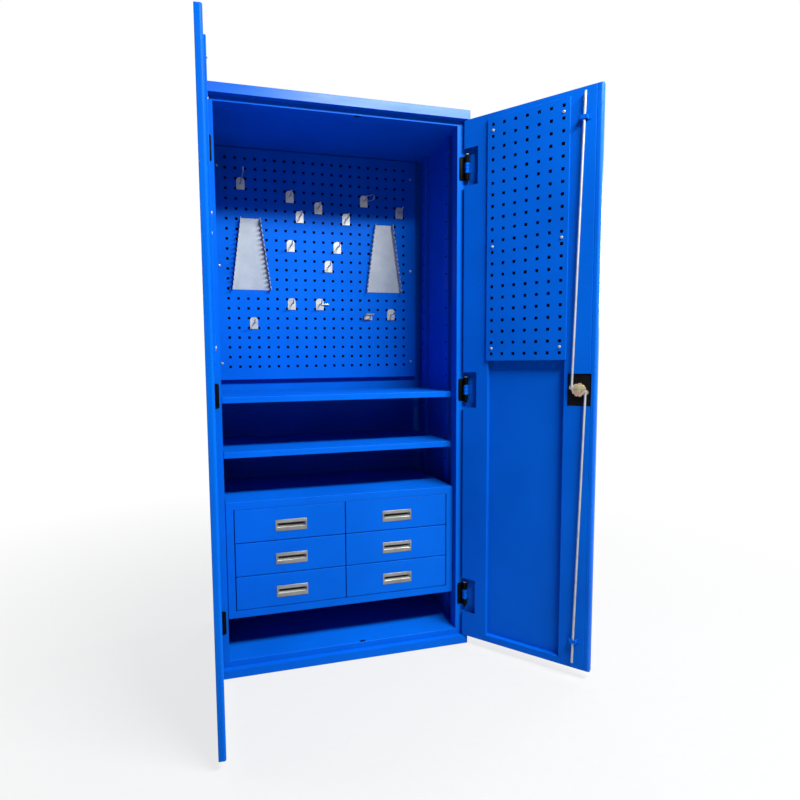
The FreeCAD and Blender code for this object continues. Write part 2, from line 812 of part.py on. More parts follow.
def pull(middle, level, name):
    """A flat frame round a finger recess, seated on the drawer front."""
    half = cell("pull_width") / 2
    rise = cell("pull_height") / 2
    recess_half = cell("pull_recess_width") / 2
    recess_rise = cell("pull_recess_height") / 2
    wall = cell("pull_wall")
    plate = housing_front - cell("pull_plate")
    end = housing_front + cell("pull_depth")
    body = doc.addObject("PartDesign::Body", "pull")

    def rectangle(x, z):
        return [(middle - x, level - z), (middle + x, level - z), (middle + x, level + z), (middle - x, level + z)]

    pad(body, loop_sketch(body, "XZ_Plane", -housing_front, rectangle(half, rise)), cell("pull_plate"))
    cup = rectangle(recess_half + wall, recess_rise + wall)
    pad(body, loop_sketch(body, "XZ_Plane", -housing_front, cup), cell("pull_depth"), True)
    recess = body.newObject("PartDesign::Pocket", "recess")
    recess.Profile = loop_sketch(body, "XZ_Plane", -plate, rectangle(recess_half, recess_rise))
    recess.setExpression("Length", (end - plate - wall).text)
    corners = [along(X=middle + x, Z=level + z) for x in (-half, half) for z in (-rise, rise)]
    plate_corners = rounded(body, cell("pull_corner_radius"), *corners)
    keep(name, rounded(plate_corners, border, along(Y=plate, Z=level + rise)))
    return rectangle(recess_half + wall + cell("pull_fit"), recess_rise + wall + cell("pull_fit"))


for side, sign in (("left", -1), ("right", 1)):
    middle = (front_width / 2 + gap / 2) * sign
    for row, place in enumerate(("lower", "middle", "upper")):
        low = bay_low + step * row + gap / 2
        high = low + front_height
        stem = f"{place}_{side}_drawer"
        cutout = pull(middle, (low + high) / 2 - cell("pull_drop"), stem + "_pull")
        half = front_width / 2
        lip_in = cell("drawer_front_lip")
        edges = (middle - half, middle + half)
        front_block = box((edges[0], housing_front, low), (edges[1], tray_front, high))
        front_folds = [along(Y=housing_front, Z=z) for z in (low, high)]
        front_folds += [along(X=x, Y=housing_front) for x in edges]
        front_folds += [along(X=x, Z=z) for x in edges for z in (low, high)]
        keep(stem + "_front", cut(
            rounded(front_block, fold, *front_folds),
            [
                box(
                    (middle - half + sheet_t, housing_front + sheet_t, low + sheet_t),
                    (middle + half - sheet_t, tray_front - sheet_t, high - sheet_t),
                ),
                box(
                    (middle - half + lip_in, tray_front - sheet_t, low + lip_in),
                    (middle + half - lip_in, tray_front, high - lip_in),
                ),
                box(
                    (cutout[0][0], housing_front, cutout[0][1]),
                    (cutout[2][0], housing_front + sheet_t, cutout[2][1]),
                ),
            ],
        ))
        tray_low = low + cell("tray_rise")
        tray_high = tray_low + front_height * cell("tray_height_share")
        keep(stem + "_tray", cut(
            box((middle - tray_half, tray_front, tray_low), (middle + tray_half, tray_back, tray_high)),
            [box(
                (middle - tray_half + sheet_t, tray_front + sheet_t, tray_low + sheet_t),
                (middle + tray_half - sheet_t, tray_back - sheet_t, tray_high),
            )],
        ))
        outer_wall = (shelf_half - sheet_t) * sign
        inner_wall = divider_half * sign
        runners.append(runner(outer_wall, middle + tray_half * sign, tray_low))
        runners.append(runner(inner_wall, middle - tray_half * sign, tray_low))
keep("drawer_runners", group(runners))

# Hinges: fixed leaves and pins on the posts
hinge_levels = [top * cell(name + "_hinge_share") for name in ("upper", "middle", "lower")]
hinge_half = cell("hinge_height") / 2
knuckle_half = cell("knuckle_height") / 2
knuckle_end = knuckle_half + cell("knuckle_gap")
knuckle = cell("knuckle_radius")
pin_radius = cell("hinge_pin_radius")
leaf_t = cell("leaf_sheet")
UP = V(0, 0, 1)
fixed_leaves = []
pins = []
for sign in (-1, 1):
    axis_x = hinge_x * sign
    leg_near = hinge_x - knuckle
    leg_far = leg_near + cell("leaf_leg")
    leaf_near = leg_near - cell("leaf_reach")

    def sided(low_x, high_x, low_y, high_y, low_z, high_z, sign=sign):
        xs = (low_x, high_x) if sign > 0 else (-high_x, -low_x)
        return box((xs[0], low_y, low_z), (xs[1], high_y, high_z))

    for level in hinge_levels:
        low = level - hinge_half
        high = level + hinge_half
        leaf = sided(leaf_near, leg_far, post_face - leaf_t, post_face, low, high)
        leaf_corners = [along(X=leaf_near * sign, Z=z) for z in (low, high)]
        blank = fuse([
            rounded(leaf, cell("leaf_corner_radius"), *leaf_corners),
            sided(leg_near, leg_far, hinge_y, post_face, low, high),
            cylinder(knuckle, hinge_half * 2, (axis_x, hinge_y, low), UP),
        ])
        room = sided(
            leg_near - leaf_t, hinge_x + knuckle * 2, hinge_y - knuckle * 2, post_face - leaf_t,
            level - knuckle_end, level + knuckle_end,
        )
        bore = cylinder(pin_radius, hinge_half * 2, (axis_x, hinge_y, low), UP)
        fixed_leaves.append(cut(blank, [room, bore]))
        head = cell("hinge_pin_head")
        pins.append(fuse([
            cylinder(pin_radius, hinge_half * 2 + head, (axis_x, hinge_y, low), UP),
            cylinder(knuckle - head, head, (axis_x, hinge_y, high), UP),
        ]))
keep("hinge_fixed_leaves", group(fixed_leaves))
keep("hinge_pins", group(pins))


def hang(side, thing):
    """Put a door piece, modelled about its hinge axis, at its open angle."""
    turn = UP if side == "right" else -UP
    angle = cell(side + "_door_angle")
    thing.Placement = FreeCAD.Placement(V(), FreeCAD.Rotation(turn, angle.value))
    place = hinge_x if side == "right" else -hinge_x
    thing.setExpression("Placement.Base.x", place.text)
    thing.setExpression("Placement.Base.y", hinge_y.text)
    return thing


# Window and perforated panel of a door, measured from the hinge axis
window_near = cell("hinge_stile") + cell("window_lap")
window_far = door_reach - cell("meeting_stile") - cell("window_lap")
window_low = door_low + cell("window_end")
window_high = door_high - cell("window_end")
panel_near = cell("hinge_stile")
panel_far = door_reach - cell("meeting_stile")
panel_high = door_high - cell("panel_top_gap")
panel_low = panel_high - cell("panel_height")
panel_face = half_door + cell("panel_rise")
panel_columns = fits(panel_far - panel_near - cell("panel_side_margin") * 2, pitch)
panel_rows = fits(panel_high - panel_low - cell("panel_end_margin") * 2, pitch)
panel_first_z = panel_high - cell("panel_end_margin")
skin_inner = sheet_t - half_door
frame_back = half_door - sheet_t


def door(side):
    """Skin, inner frame, perforated panel, screws and hinge leaves of one door."""

    def block(low, high):
        if side == "right":
            return box((-high[0], low[1], low[2]), (-low[0], high[1], high[2]))
        return box(low, high)

    def across(u):
        return -u if side == "right" else u

    edge = -cell("door_edge")
    notches = [
        block(
            (edge, cell("hinge_notch_depth") - half_door, level - cell("hinge_notch_height") / 2),
            (cell("hinge_notch_reach"), half_door, level + cell("hinge_notch_height") / 2),
        )
        for level in hinge_levels
    ]
    lock_half = cell("lock_width") / 2 + cell("lock_clearance")
    lock_rise = cell("lock_height") / 2 + cell("lock_clearance")
    lock_hole = block(
        (lock_reach - lock_half, -half_door, lock_z - lock_rise),
        (lock_reach + lock_half, half_door, lock_z + lock_rise),
    )
    openings = notches + ([lock_hole] if side == "right" else [])
    ends = (across(edge), across(door_reach))
    levels = (door_low, door_high)
    corner_folds = [along(X=x, Z=z) for x in ends for z in levels]
    face_folds = [along(X=x, Y=-half_door) for x in ends] + [along(Y=-half_door, Z=z) for z in levels]
    skin_block = block((edge, -half_door, door_low), (door_reach, frame_back, door_high))
    skin = cut(
        rounded(skin_block, fold, *corner_folds, *face_folds),
        [block(
            (edge + sheet_t, skin_inner, door_low + sheet_t),
            (door_reach - sheet_t, frame_back, door_high - sheet_t),
        )] + openings,
    )
    hang(side, keep(side + "_door_skin", skin))
    window = block((window_near, skin_inner, window_low), (window_far, half_door, window_high))
    frame_plate = block((edge, frame_back, door_low), (door_reach, half_door, door_high))
    frame_walls = block(
        (window_near - sheet_t, skin_inner, window_low - sheet_t),
        (window_far + sheet_t, frame_back, window_high + sheet_t),
    )
    pressed = cut(fuse([rounded(frame_plate, fold, *corner_folds), frame_walls]), [window])
    window_folds = [along(X=across(u), Y=half_door) for u in (window_near, window_far)]
    window_folds += [along(Y=half_door, Z=z) for z in (window_low, window_high)]
    frame = cut(rounded(pressed, fold, *window_folds), openings)
    hang(side, keep(side + "_door_inner_frame", frame))

    # Perforated panel as a shallow tray over the upper part of the window
    board_t = cell("board_sheet")
    low_x = -panel_far if side == "right" else panel_near
    high_x = -panel_near if side == "right" else panel_far
    first_x = (low_x + high_x) / 2 - pitch * (panel_columns - 1) / 2
    plate = perforated(
        (low_x, panel_low), (high_x, panel_high), (panel_face - board_t, panel_face),
        (first_x, panel_first_z), (pitch, pitch), (cell("hole_width"), cell("hole_width")),
        (panel_columns, panel_rows),
    )
    rise = cell("panel_rise").value
    width = (high_x - low_x).value
    height = (panel_high - panel_low).value
    wall = board_t.value
    base = V(low_x.value, half_door.value, panel_low.value)
    plate = plate.fuse([
        Part.makeBox(wall, rise, height, base),
        Part.makeBox(wall, rise, height, base + V(width - wall, 0, 0)),
        Part.makeBox(width, rise, wall, base),
        Part.makeBox(width, rise, wall, base + V(0, 0, height - wall)),
    ]).removeSplitter()
    panel_folds = [along(X=x, Y=panel_face) for x in (low_x, high_x)]
    panel_folds += [along(Y=panel_face, Z=z) for z in (panel_low, panel_high)]
    panel_folds += [along(X=x, Z=z) for x in (low_x, high_x) for z in (panel_low, panel_high)]
    folded = rounded(feature(plate), board_t, *panel_folds)
    hang(side, keep(side + "_door_perforated_panel", folded))
    rows = [pitch / 2, (panel_high - panel_low) / 2 - cell("panel_end_margin")]
    rows.append(pitch * (panel_rows - 1) - pitch / 2)
    rows[1] = pitch * (panel_rows // 2) + pitch / 2
    screws = group([
        screw_head((first_x + pitch * column, panel_face, panel_first_z - row), BACKWARD)
        for column in (0, panel_columns - 1) for row in rows
    ])
    hang(side, keep(side + "_door_panel_screws", screws))

    # Moving hinge leaves inside the notches
    leaves = []
    root = cell("door_leaf_root")
    for level in hinge_levels:
        blank = fuse([
            cylinder(knuckle, knuckle_half * 2, (0, 0, level - knuckle_half), UP),
            block(
                (plain(0), skin_inner, level - knuckle_half),
                (cell("door_leaf_reach"), skin_inner + root, level + knuckle_half),
            ),
            block(
                (knuckle + root, skin_inner, level - hinge_half),
                (cell("door_leaf_reach"), skin_inner + leaf_t, level + hinge_half),
            ),
        ])
        bore = cylinder(pin_radius + cell("running_gap"), knuckle_half * 2, (0, 0, level - knuckle_half), UP)
        leaves.append(cut(blank, [bore]))
    hang(side, keep(side + "_door_hinge_leaves", group(leaves)))


door("left")
door("right")

# Rod guides as open loops on the lock stile
guide_t = cell("guide_sheet")
guide_in = cell("guide_half_width")
guide_out = guide_in + guide_t
guide_end = guide_out + cell("guide_foot")
guide_top = half_door + cell("guide_rise")
guide_loop = [
    (-guide_end, half_door), (-guide_in, half_door), (-guide_in, guide_top), (guide_in, guide_top),
    (guide_in, half_door), (guide_end, half_door), (guide_end, half_door + guide_t),
    (guide_out, half_door + guide_t), (guide_out, guide_top + guide_t), (-guide_out, guide_top + guide_t),
    (-guide_out, half_door + guide_t), (-guide_end, half_door + guide_t),
]
upper_guide = top * cell("guide_share")
lower_guide = top - upper_guide
guides = [
    profile(
        "XY_Plane", level - cell("guide_length") / 2, cell("guide_length"),
        [(x - lock_reach, y) for x, y in guide_loop],
    )
    for level in (upper_guide, lower_guide)
]
hang("right", keep("rod_guides", group(guides)))

# Lock housing with a round cup for the turn handle
lock_x = -lock_reach
lock_half_width = cell("lock_width") / 2
lock_half_height = cell("lock_height") / 2
lap = cell("lock_flange_lap")
flange_face = -(half_door + cell("lock_flange_sheet"))
housing_rear = cell("lock_back") - half_door
cup_end = flange_face + cell("lock_cup_depth")
spindle = cell("spindle_radius")
lock_body = cut(
    fuse([
        box(
            (lock_x - lock_half_width, -half_door, lock_z - lock_half_height),
            (lock_x + lock_half_width, housing_rear, lock_z + lock_half_height),
        ),
        box(
            (lock_x - lock_half_width - lap, flange_face, lock_z - lock_half_height - lap),
            (lock_x + lock_half_width + lap, -half_door, lock_z + lock_half_height + lap),
        ),
    ]),
    [
        cylinder(cell("lock_cup_radius"), cell("lock_cup_depth"), (lock_x, flange_face, lock_z), BACKWARD),
        cylinder(
            spindle + cell("running_gap"), housing_rear - cup_end + cell("cam_gap"),
            (lock_x, cup_end, lock_z), BACKWARD,
        ),
    ],
)
hang("right", keep("lock_housing", lock_body))

# Turn handle with its bar and spindle
disc_radius = cell("lock_cup_radius") - cell("handle_clearance")
disc_end = cup_end - cell("running_gap")
disc_start = disc_end - cell("handle_disc")
bar_half = disc_radius - cell("handle_clearance") * 2
bar_rise = cell("handle_bar_width") / 2
cam_low = half_door + cell("cam_gap")
cam_high = cam_low + cell("cam_sheet")
nut_high = cam_high + cell("nut_height")
handle = fuse([
    cylinder(disc_radius, cell("handle_disc"), (lock_x, disc_start, lock_z), BACKWARD),
    box(
        (lock_x - bar_half, disc_start - cell("handle_bar_rise"), lock_z - bar_rise),
        (lock_x + bar_half, disc_start, lock_z + bar_rise),
    ),
    cylinder(spindle, cell("spindle_end"), (lock_x, disc_start, lock_z), BACKWARD),
])
hang("right", keep("turn_handle", handle))

# Cam with two lugs and two pins, turned to its open angle
pin_u, pin_v = turned(cell("cam_pin_circle"), cell("cam_angle"))
cam_pin = cell("cam_pin_radius")
lug = cell("cam_lug_radius")
cam_t = cell("cam_sheet")
lug_spots = [(lock_x - pin_u, lock_z + pin_v), (lock_x + pin_u, lock_z - pin_v)]
cam_pieces = [cylinder(cell("cam_disc_radius"), cam_t, (lock_x, cam_low, lock_z), BACKWARD)]
for x, z in lug_spots:
    cam_pieces.append(cylinder(lug, cam_t, (x, cam_low, z), BACKWARD))
    cam_pieces.append(cylinder(cam_pin, cam_t + cell("cam_pin_length"), (x, cam_low, z), BACKWARD))
cam = cut(fuse(cam_pieces), [cylinder(spindle, cam_t, (lock_x, cam_low, lock_z), BACKWARD)])
hang("right", keep("lock_cam", cam))

# Hexagonal nut that holds the cam on its spindle
nut_radius = cell("nut_radius")
sixth = math.pi / 3
nut_body = doc.addObject("PartDesign::Body", "nut")
nut_loop = []
for index in range(6):
    along_share = math.cos(index * sixth)
    across_share = math.sin(index * sixth)
    nut_loop.append((lock_x + nut_radius * along_share, lock_z + nut_radius * across_share))
pad(nut_body, loop_sketch(nut_body, "XZ_Plane", -nut_high, nut_loop), cell("nut_height"))
nut = cut(nut_body, [cylinder(spindle, cell("nut_height"), (lock_x, cam_high, lock_z), BACKWARD)])
hang("right", keep("cam_nut", nut))

# Lock rods, each with an eye on a cam pin, leaning from the pin to its guide
rod_radius = cell("rod_radius")
rod_line = cell("rod_offset")
eye_low = rod_line - cell("rod_eye_sheet") / 2
tips = [rail_bottom - cell("rod_end_gap"), floor_top + cell("rod_end_gap")]
for name, (x, z), guide, tip in zip(("upper", "lower"), lug_spots, (upper_guide, lower_guide), tips):
    aim = V((lock_x - x).value, 0, (guide - z).value)
    aim.normalize()
    length = (tip - z) / aim.z
    rod = cut(
        fuse([
            cylinder(rod_radius, length, (x, rod_line, z), aim),
            cylinder(cell("rod_eye_radius"), cell("rod_eye_sheet"), (x, eye_low, z), BACKWARD),
        ]),
        [cylinder(
            cam_pin + cell("running_gap"), rod_radius * 4, (x, rod_line - rod_radius * 2, z), BACKWARD,
        )],
    )
    hang("right", keep(name + "_lock_rod", rod))

doc.recompute()

# Every object is sound before its file is written
for item in doc.Objects:
    assert not {"Invalid", "Error"} & set(item.State), (item.Name, item.Label, item.State)
for name, thing in nodes.items():
    shape = thing.Shape
    assert not shape.isNull() and shape.isValid() and shape.Solids, name
    shape.exportStep(f"parts/{name}.step")
print(len(nodes), "sub-parts written")
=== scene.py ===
import json
import math

import bpy
from mathutils import Matrix, Vector


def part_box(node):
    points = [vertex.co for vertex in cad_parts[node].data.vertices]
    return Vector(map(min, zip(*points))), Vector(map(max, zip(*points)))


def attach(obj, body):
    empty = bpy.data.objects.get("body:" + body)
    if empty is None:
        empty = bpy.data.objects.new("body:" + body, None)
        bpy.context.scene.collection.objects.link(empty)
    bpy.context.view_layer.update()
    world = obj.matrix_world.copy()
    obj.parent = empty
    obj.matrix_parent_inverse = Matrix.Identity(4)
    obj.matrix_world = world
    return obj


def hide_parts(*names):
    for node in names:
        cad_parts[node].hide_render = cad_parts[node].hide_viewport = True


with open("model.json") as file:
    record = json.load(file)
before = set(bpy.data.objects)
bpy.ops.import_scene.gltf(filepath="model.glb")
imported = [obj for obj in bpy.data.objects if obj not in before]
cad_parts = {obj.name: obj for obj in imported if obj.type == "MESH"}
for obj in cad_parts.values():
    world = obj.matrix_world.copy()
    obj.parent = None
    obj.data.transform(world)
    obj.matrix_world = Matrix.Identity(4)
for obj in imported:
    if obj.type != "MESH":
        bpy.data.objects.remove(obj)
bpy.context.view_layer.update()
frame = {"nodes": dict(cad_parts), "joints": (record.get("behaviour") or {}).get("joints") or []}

MM = 0.001
PICTURE = 800
SENSOR = 36
VIEW_END = 200


# Shader words: a socket that takes part in sums, and a finish that adds its nodes
class Wire:
    def __init__(self, finish, socket):
        self.finish = finish
        self.socket = socket

    def calculate(self, operation, first, second):
        return self.finish.node("Math", {"operation": operation}, {0: first, 1: second})

    def __add__(self, other):
        return self.calculate("ADD", self, other)

    def __radd__(self, other):
        return self.calculate("ADD", other, self)

    def __sub__(self, other):
        return self.calculate("SUBTRACT", self, other)

    def __rsub__(self, other):
        return self.calculate("SUBTRACT", other, self)

    def __mul__(self, other):
        return self.calculate("MULTIPLY", self, other)

    def __rmul__(self, other):
        return self.calculate("MULTIPLY", other, self)


class Finish:
    def __init__(self, name, tree=None):
        if tree is None:
            self.material = bpy.data.materials.new(name)
            self.material.use_nodes = True
            tree = self.material.node_tree
        tree.nodes.clear()
        self.tree = tree

    def node(self, kind, settings=None, sockets=None, out=0):
        """A node of a kind: its settings first, then the values or links of its sockets."""
        made = self.tree.nodes.new("ShaderNode" + kind)
        for key, value in (settings or {}).items():
            if key == "stops":
                stops = made.color_ramp.elements
                while len(stops) < len(value):
                    stops.new(1)
                for stop, (place, colour) in zip(stops, value):
                    stop.position = place
                    stop.color = (*colour, 1)
            else:
                setattr(made, key, value)
        for key, value in (sockets or {}).items():
            if isinstance(value, Wire):
                self.tree.links.new(value.socket, made.inputs[key])
            else:
                made.inputs[key].default_value = value
        return Wire(self, made.outputs[out]) if made.outputs else None

    def place(self, stretch=(1, 1, 1)):
        """The place on the object, stretched where a grain runs one way."""
        spot = self.node("TexCoord", out="Object")
        if stretch == (1, 1, 1):
            return spot
        return self.node("Mapping", {}, {"Vector": spot, "Scale": stretch})

    def along(self, direction):
        """How far a place lies along a direction."""
        values = {0: self.place(), 1: tuple(direction)}
        return self.node("VectorMath", {"operation": "DOT_PRODUCT"}, values, "Value")

    def noise(self, scale, detail=3, rough=0.5, stretch=(1, 1, 1)):
        values = {"Vector": self.place(stretch), "Scale": scale, "Detail": detail, "Roughness": rough}
        return self.node("TexNoise", {}, values)

    def looked_at(self):
        """1 for what the eye, a gloss or a glass sees, 0 for light on its way."""
        eye, gloss, glass = (
            self.node("LightPath", out=f"Is {kind} Ray") for kind in ("Camera", "Glossy", "Transmission")
        )
        return eye + gloss + glass

    def ramp(self, amount, *stops):
        return self.node("ValToRGB", {"stops": stops}, {0: amount})

    def grade(self, amount, low, high, to_low=0.0, to_high=1.0):
        values = {0: amount, 1: low, 2: high, 3: to_low, 4: to_high}
        return self.node("MapRange", {"clamp": True}, values)

    def blend(self, amount, first, second):
        settings = {"data_type": "RGBA", "clamp_factor": True}
        colours = [c if isinstance(c, Wire) else (*c, 1) for c in (first, second)]
        return self.node("Mix", settings, {0: amount, 6: colours[0], 7: colours[1]}, 2)

    def bump(self, height, depth, strength=1.0, below=None):
        values = {"Height": height, "Distance": depth, "Strength": strength}
        if below is not None:
            values["Normal"] = below
        return self.node("Bump", {}, values)

    def shade(self, **sockets):
        names = {key.replace("_", " "): value for key, value in sockets.items()}
        shader = self.node("BsdfPrincipled", {}, names)
        self.end(shader)
        return self.material

    def end(self, shader, kind="OutputMaterial"):
        self.node(kind, {}, {"Surface": shader})


# Finishes
# Painted shade behind perforated panels: a near-black colour, faded in at its bounds, standing in for the
# shadow seen through the holes.
PAINTED_HOLE_SHADE = (0.004, 0.008, 0.03)
HOLE_SHADE_FADE = 3 * MM
HOLE_SHADE_STEP = 0.2 * MM
HOLE_SHADE_BEHIND = 0.5 * MM


def powder_coat(name, deep_tone, full_tone, roughness=0.34, gloss=0.025, primer=None):
    """Baked powder coat: a rippled film whose colour drifts a little from place to place.
    Behind a perforated panel, within the given bounds, the colour is a painted shade: near black, standing
    in for the shadow seen through the holes."""
    coat = Finish(name)
    drift = coat.noise(2.6, 3, 0.6)
    fleck = coat.noise(900, 2, 0.6)
    ripple = coat.noise(330, 2, 0.45)
    swell = coat.noise(70, 2, 0.5)
    wiped = coat.noise(5, 4, 0.62, (1, 1, 6))
    # The colour drifts at random between a deeper and a fuller blue: the paint's own uneven tone, not
    # light or shade.
    colour = coat.blend(coat.grade(drift, 0.3, 0.7), deep_tone, full_tone)
    tone = coat.grade(fleck, 0.25, 0.75, 0.93, 1.05)
    colour = coat.node("HueSaturation", {}, {"Value": tone, "Color": colour})
    # Painted shade: within the given bounds, behind a perforated panel, the colour goes near black.
    if primer is not None:
        out, depth, along, near, far, edge, top = primer
        behind_panel_shade = 1 - coat.grade(coat.along(out), depth, depth + HOLE_SHADE_STEP)
        for direction, low, high in (((0, 0, 1), edge, top), (along, near, far)):
            amount = coat.along(direction)
            behind_panel_shade = behind_panel_shade * coat.grade(amount, low, low + HOLE_SHADE_FADE)
            behind_panel_shade = behind_panel_shade * (1 - coat.grade(amount, high - HOLE_SHADE_FADE, high))
        colour = coat.blend(behind_panel_shade, colour, PAINTED_HOLE_SHADE)
    rough = coat.grade(wiped, 0.3, 0.75, roughness - 0.05, roughness + 0.09)
    film = coat.bump(ripple, 0.10 * MM, 0.55, coat.bump(swell, 0.16 * MM, 0.4))
    return coat.shade(Base_Color=colour, Roughness=rough, Normal=film, Specular_IOR_Level=gloss)


def bright_zinc(name):
    """Dulled zinc plate: streaked along the length, with cooler and warmer clouds."""
    plate = Finish(name)
    cloud = plate.noise(28, 3, 0.6)
    streak = plate.noise(420, 3, 0.6, (1, 1, 0.06))
    colour = plate.ramp(
        cloud, (0.3, (0.30, 0.32, 0.33)), (0.55, (0.42, 0.43, 0.42)), (0.8, (0.36, 0.36, 0.34)),
    )
    rough = plate.grade(streak, 0.25, 0.75, 0.3, 0.46)
    film = plate.bump(streak, 0.03 * MM, 0.4)
    return plate.shade(
        Base_Color=colour, Metallic=0.45, Roughness=rough, Normal=film, Specular_IOR_Level=0.2,
    )


def galvanised_grey(name):
    """Pale grey coat over pressed steel, a little cloudy."""
    coat = Finish(name)
    cloud = coat.noise(14, 4, 0.65)
    fleck = coat.noise(700, 2, 0.5)
    colour = coat.ramp(cloud, (0.25, (0.23, 0.27, 0.31)), (0.75, (0.32, 0.36, 0.40)))
    rough = coat.grade(fleck, 0.3, 0.7, 0.34, 0.48)
    return coat.shade(Base_Color=colour, Roughness=rough, Normal=coat.bump(fleck, 0.05 * MM, 0.4))


def satin_black(name):
    """Satin black coat with a slight bloom."""
    coat = Finish(name)
    bloom = coat.noise(60, 4, 0.6)
    fleck = coat.noise(1100, 2, 0.5)
    colour = coat.ramp(bloom, (0.3, (0.0012, 0.0013, 0.0013)), (0.8, (0.004, 0.004, 0.0038)))
    rough = coat.grade(bloom, 0.3, 0.7, 0.4, 0.56)
    film = coat.bump(fleck, 0.04 * MM, 0.5)
    return coat.shade(Base_Color=colour, Roughness=rough, Normal=film, Specular_IOR_Level=0.03)


def moulded_black(name):
    """Black moulding with a fine spark-eroded grain."""
    resin = Finish(name)
    grain = resin.node("TexVoronoi", {}, {"Vector": resin.place(), "Scale": 1600})
    cloud = resin.noise(40, 3, 0.6)
    colour = resin.ramp(cloud, (0.3, (0.003, 0.003, 0.004)), (0.8, (0.009, 0.009, 0.010)))
    rough = resin.grade(cloud, 0.3, 0.7, 0.5, 0.66)
    film = resin.bump(grain, 0.05 * MM, 0.5)
    return resin.shade(Base_Color=colour, Roughness=rough, Normal=film, Specular_IOR_Level=0.04)


def passivated_zinc(name, tints):
    """Passivated zinc: straw colour drifting to pink or to green."""
    plate = Finish(name)
    cloud = plate.noise(75, 3, 0.55)
    scratch = plate.noise(500, 3, 0.6, (1, 1, 0.15))
    colour = plate.ramp(cloud, *zip((0.28, 0.45, 0.58, 0.72), tints))
    rough = plate.grade(scratch, 0.25, 0.75, 0.28, 0.46)
    film = plate.bump(scratch, 0.03 * MM, 0.5)
    return plate.shade(
        Base_Color=colour, Metallic=0.6, Roughness=rough, Normal=film, Specular_IOR_Level=0.25,
    )


def satin_nickel(name, mouth):
    """Brushed nickel, its grain along the width, with painted shade and a rougher surface in the depth of
    the recess.
    """
    metal = Finish(name)
    brush = metal.noise(900, 3, 0.65, (0.03, 1, 1))
    cloud = metal.noise(30, 2, 0.5)
    colour = metal.ramp(cloud, (0.3, (0.22, 0.225, 0.21)), (0.7, (0.29, 0.29, 0.27)))
    shallow, deep = mouth + 5 * MM, mouth + 10 * MM
    # Painted shade: the colour goes near black deeper in the recess, standing in for the shadow under the
    # top lip; the same mask also raises roughness there.
    painted_recess_shade = metal.grade(metal.along((0, 1, 0)), shallow, deep)
    colour = metal.blend(painted_recess_shade, colour, (0.03, 0.028, 0.025))
    rough = metal.grade(brush, 0.25, 0.75, 0.26, 0.42) + painted_recess_shade * 0.3
    film = metal.bump(brush, 0.04 * MM, 0.5)
    return metal.shade(
        Base_Color=colour, Metallic=0.8, Roughness=rough, Normal=film, Specular_IOR_Level=0.2,
    )


DEEP_BLUE, FULL_BLUE = (0.0008, 0.085, 0.47), (0.001, 0.105, 0.56)
finishes = {
    "blue_coat": powder_coat("blue_powder_coat", DEEP_BLUE, FULL_BLUE),
    "zinc": bright_zinc("bright_zinc_plate"),
    "grey_coat": galvanised_grey("pale_grey_coat"),
    "black_coat": satin_black("satin_black_coat"),
    "black_plastic": moulded_black("moulded_black"),
    "yellow_zinc": passivated_zinc("rose_zinc_plate", [
        (0.46, 0.29, 0.22), (0.50, 0.38, 0.22), (0.56, 0.40, 0.32), (0.44, 0.34, 0.20),
    ]),
    "pull_metal": satin_nickel("brushed_pull_metal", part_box("lower_left_drawer_front")[0][1]),
}
for node in frame["nodes"].values():
    for slot in node.material_slots:
        slot.material = finishes[slot.material.name.split(".")[0]]
# The back panel's coat carries painted shade behind the tool panel, so its holes read dark.
panel_low, panel_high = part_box("tool_panel")
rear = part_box("back_panel")[1][1] - HOLE_SHADE_BEHIND
back_panel_shade = (0, 1, 0), rear, (1, 0, 0), panel_low[0], panel_high[0], panel_low[2], panel_high[2]
frame["nodes"]["back_panel"].material_slots[0].material = powder_coat(
    "blue_coat_painted_hole_shade", DEEP_BLUE, FULL_BLUE, primer=back_panel_shade,
)
bright_blue = powder_coat("bright_blue_coat", DEEP_BLUE, FULL_BLUE, 0.3, 0.17)
frame["nodes"]["top_cap"].material_slots[0].material = bright_blue


# Modelling by hand: starting, picking, softening, copying and fitting a piece
MERGE = 0.01 * MM
CLOSE = 0.1 * MM
OVERRUN = MM
SMOOTH_ANGLE = math.radians(32)


def begin(add, name, **settings):
    """A primitive added at its size and place, the start of a piece."""
    bpy.ops.object.select_all(action="DESELECT")
    add(**settings)
    piece = bpy.context.object
    piece.name = piece.data.name = name
    bpy.ops.object.transform_apply(location=True, rotation=True, scale=True)
    return piece


def block(name, low, high):
    """A cube stretched between two corners."""
    middle = [(a + b) / 2 for a, b in zip(low, high)]
    size = [b - a for a, b in zip(low, high)]
    return begin(bpy.ops.mesh.primitive_cube_add, name, size=1, location=middle, scale=size)


def pick(piece, kind, test):
    """Select the faces, edges or points of a piece that pass a test, in edit mode."""
    mesh = piece.data
    bpy.ops.object.mode_set(mode="EDIT")
    bpy.ops.mesh.select_mode(type=kind)
    bpy.ops.mesh.select_all(action="DESELECT")
    bpy.ops.object.mode_set(mode="OBJECT")
    if kind == "FACE":
        for face in mesh.polygons:
            face.select = test(face.center, face.normal)
    elif kind == "EDGE":
        for edge in mesh.edges:
            edge.select = test(*(mesh.vertices[index].co for index in edge.vertices))
    else:
        for point in mesh.vertices:
            point.select = test(point.co)
    bpy.ops.object.mode_set(mode="EDIT")


def shift(move):
    bpy.ops.transform.translate(value=move)


def pull_out(move):
    bpy.ops.mesh.extrude_region_move(TRANSFORM_OT_translate={"value": move})


def alone(piece):
    """Leave edit mode with only this piece selected."""
    if bpy.context.object and bpy.context.object.mode != "OBJECT":
        bpy.ops.object.mode_set(mode="OBJECT")
    bpy.ops.object.select_all(action="DESELECT")
    piece.select_set(True)
    bpy.context.view_layer.objects.active = piece


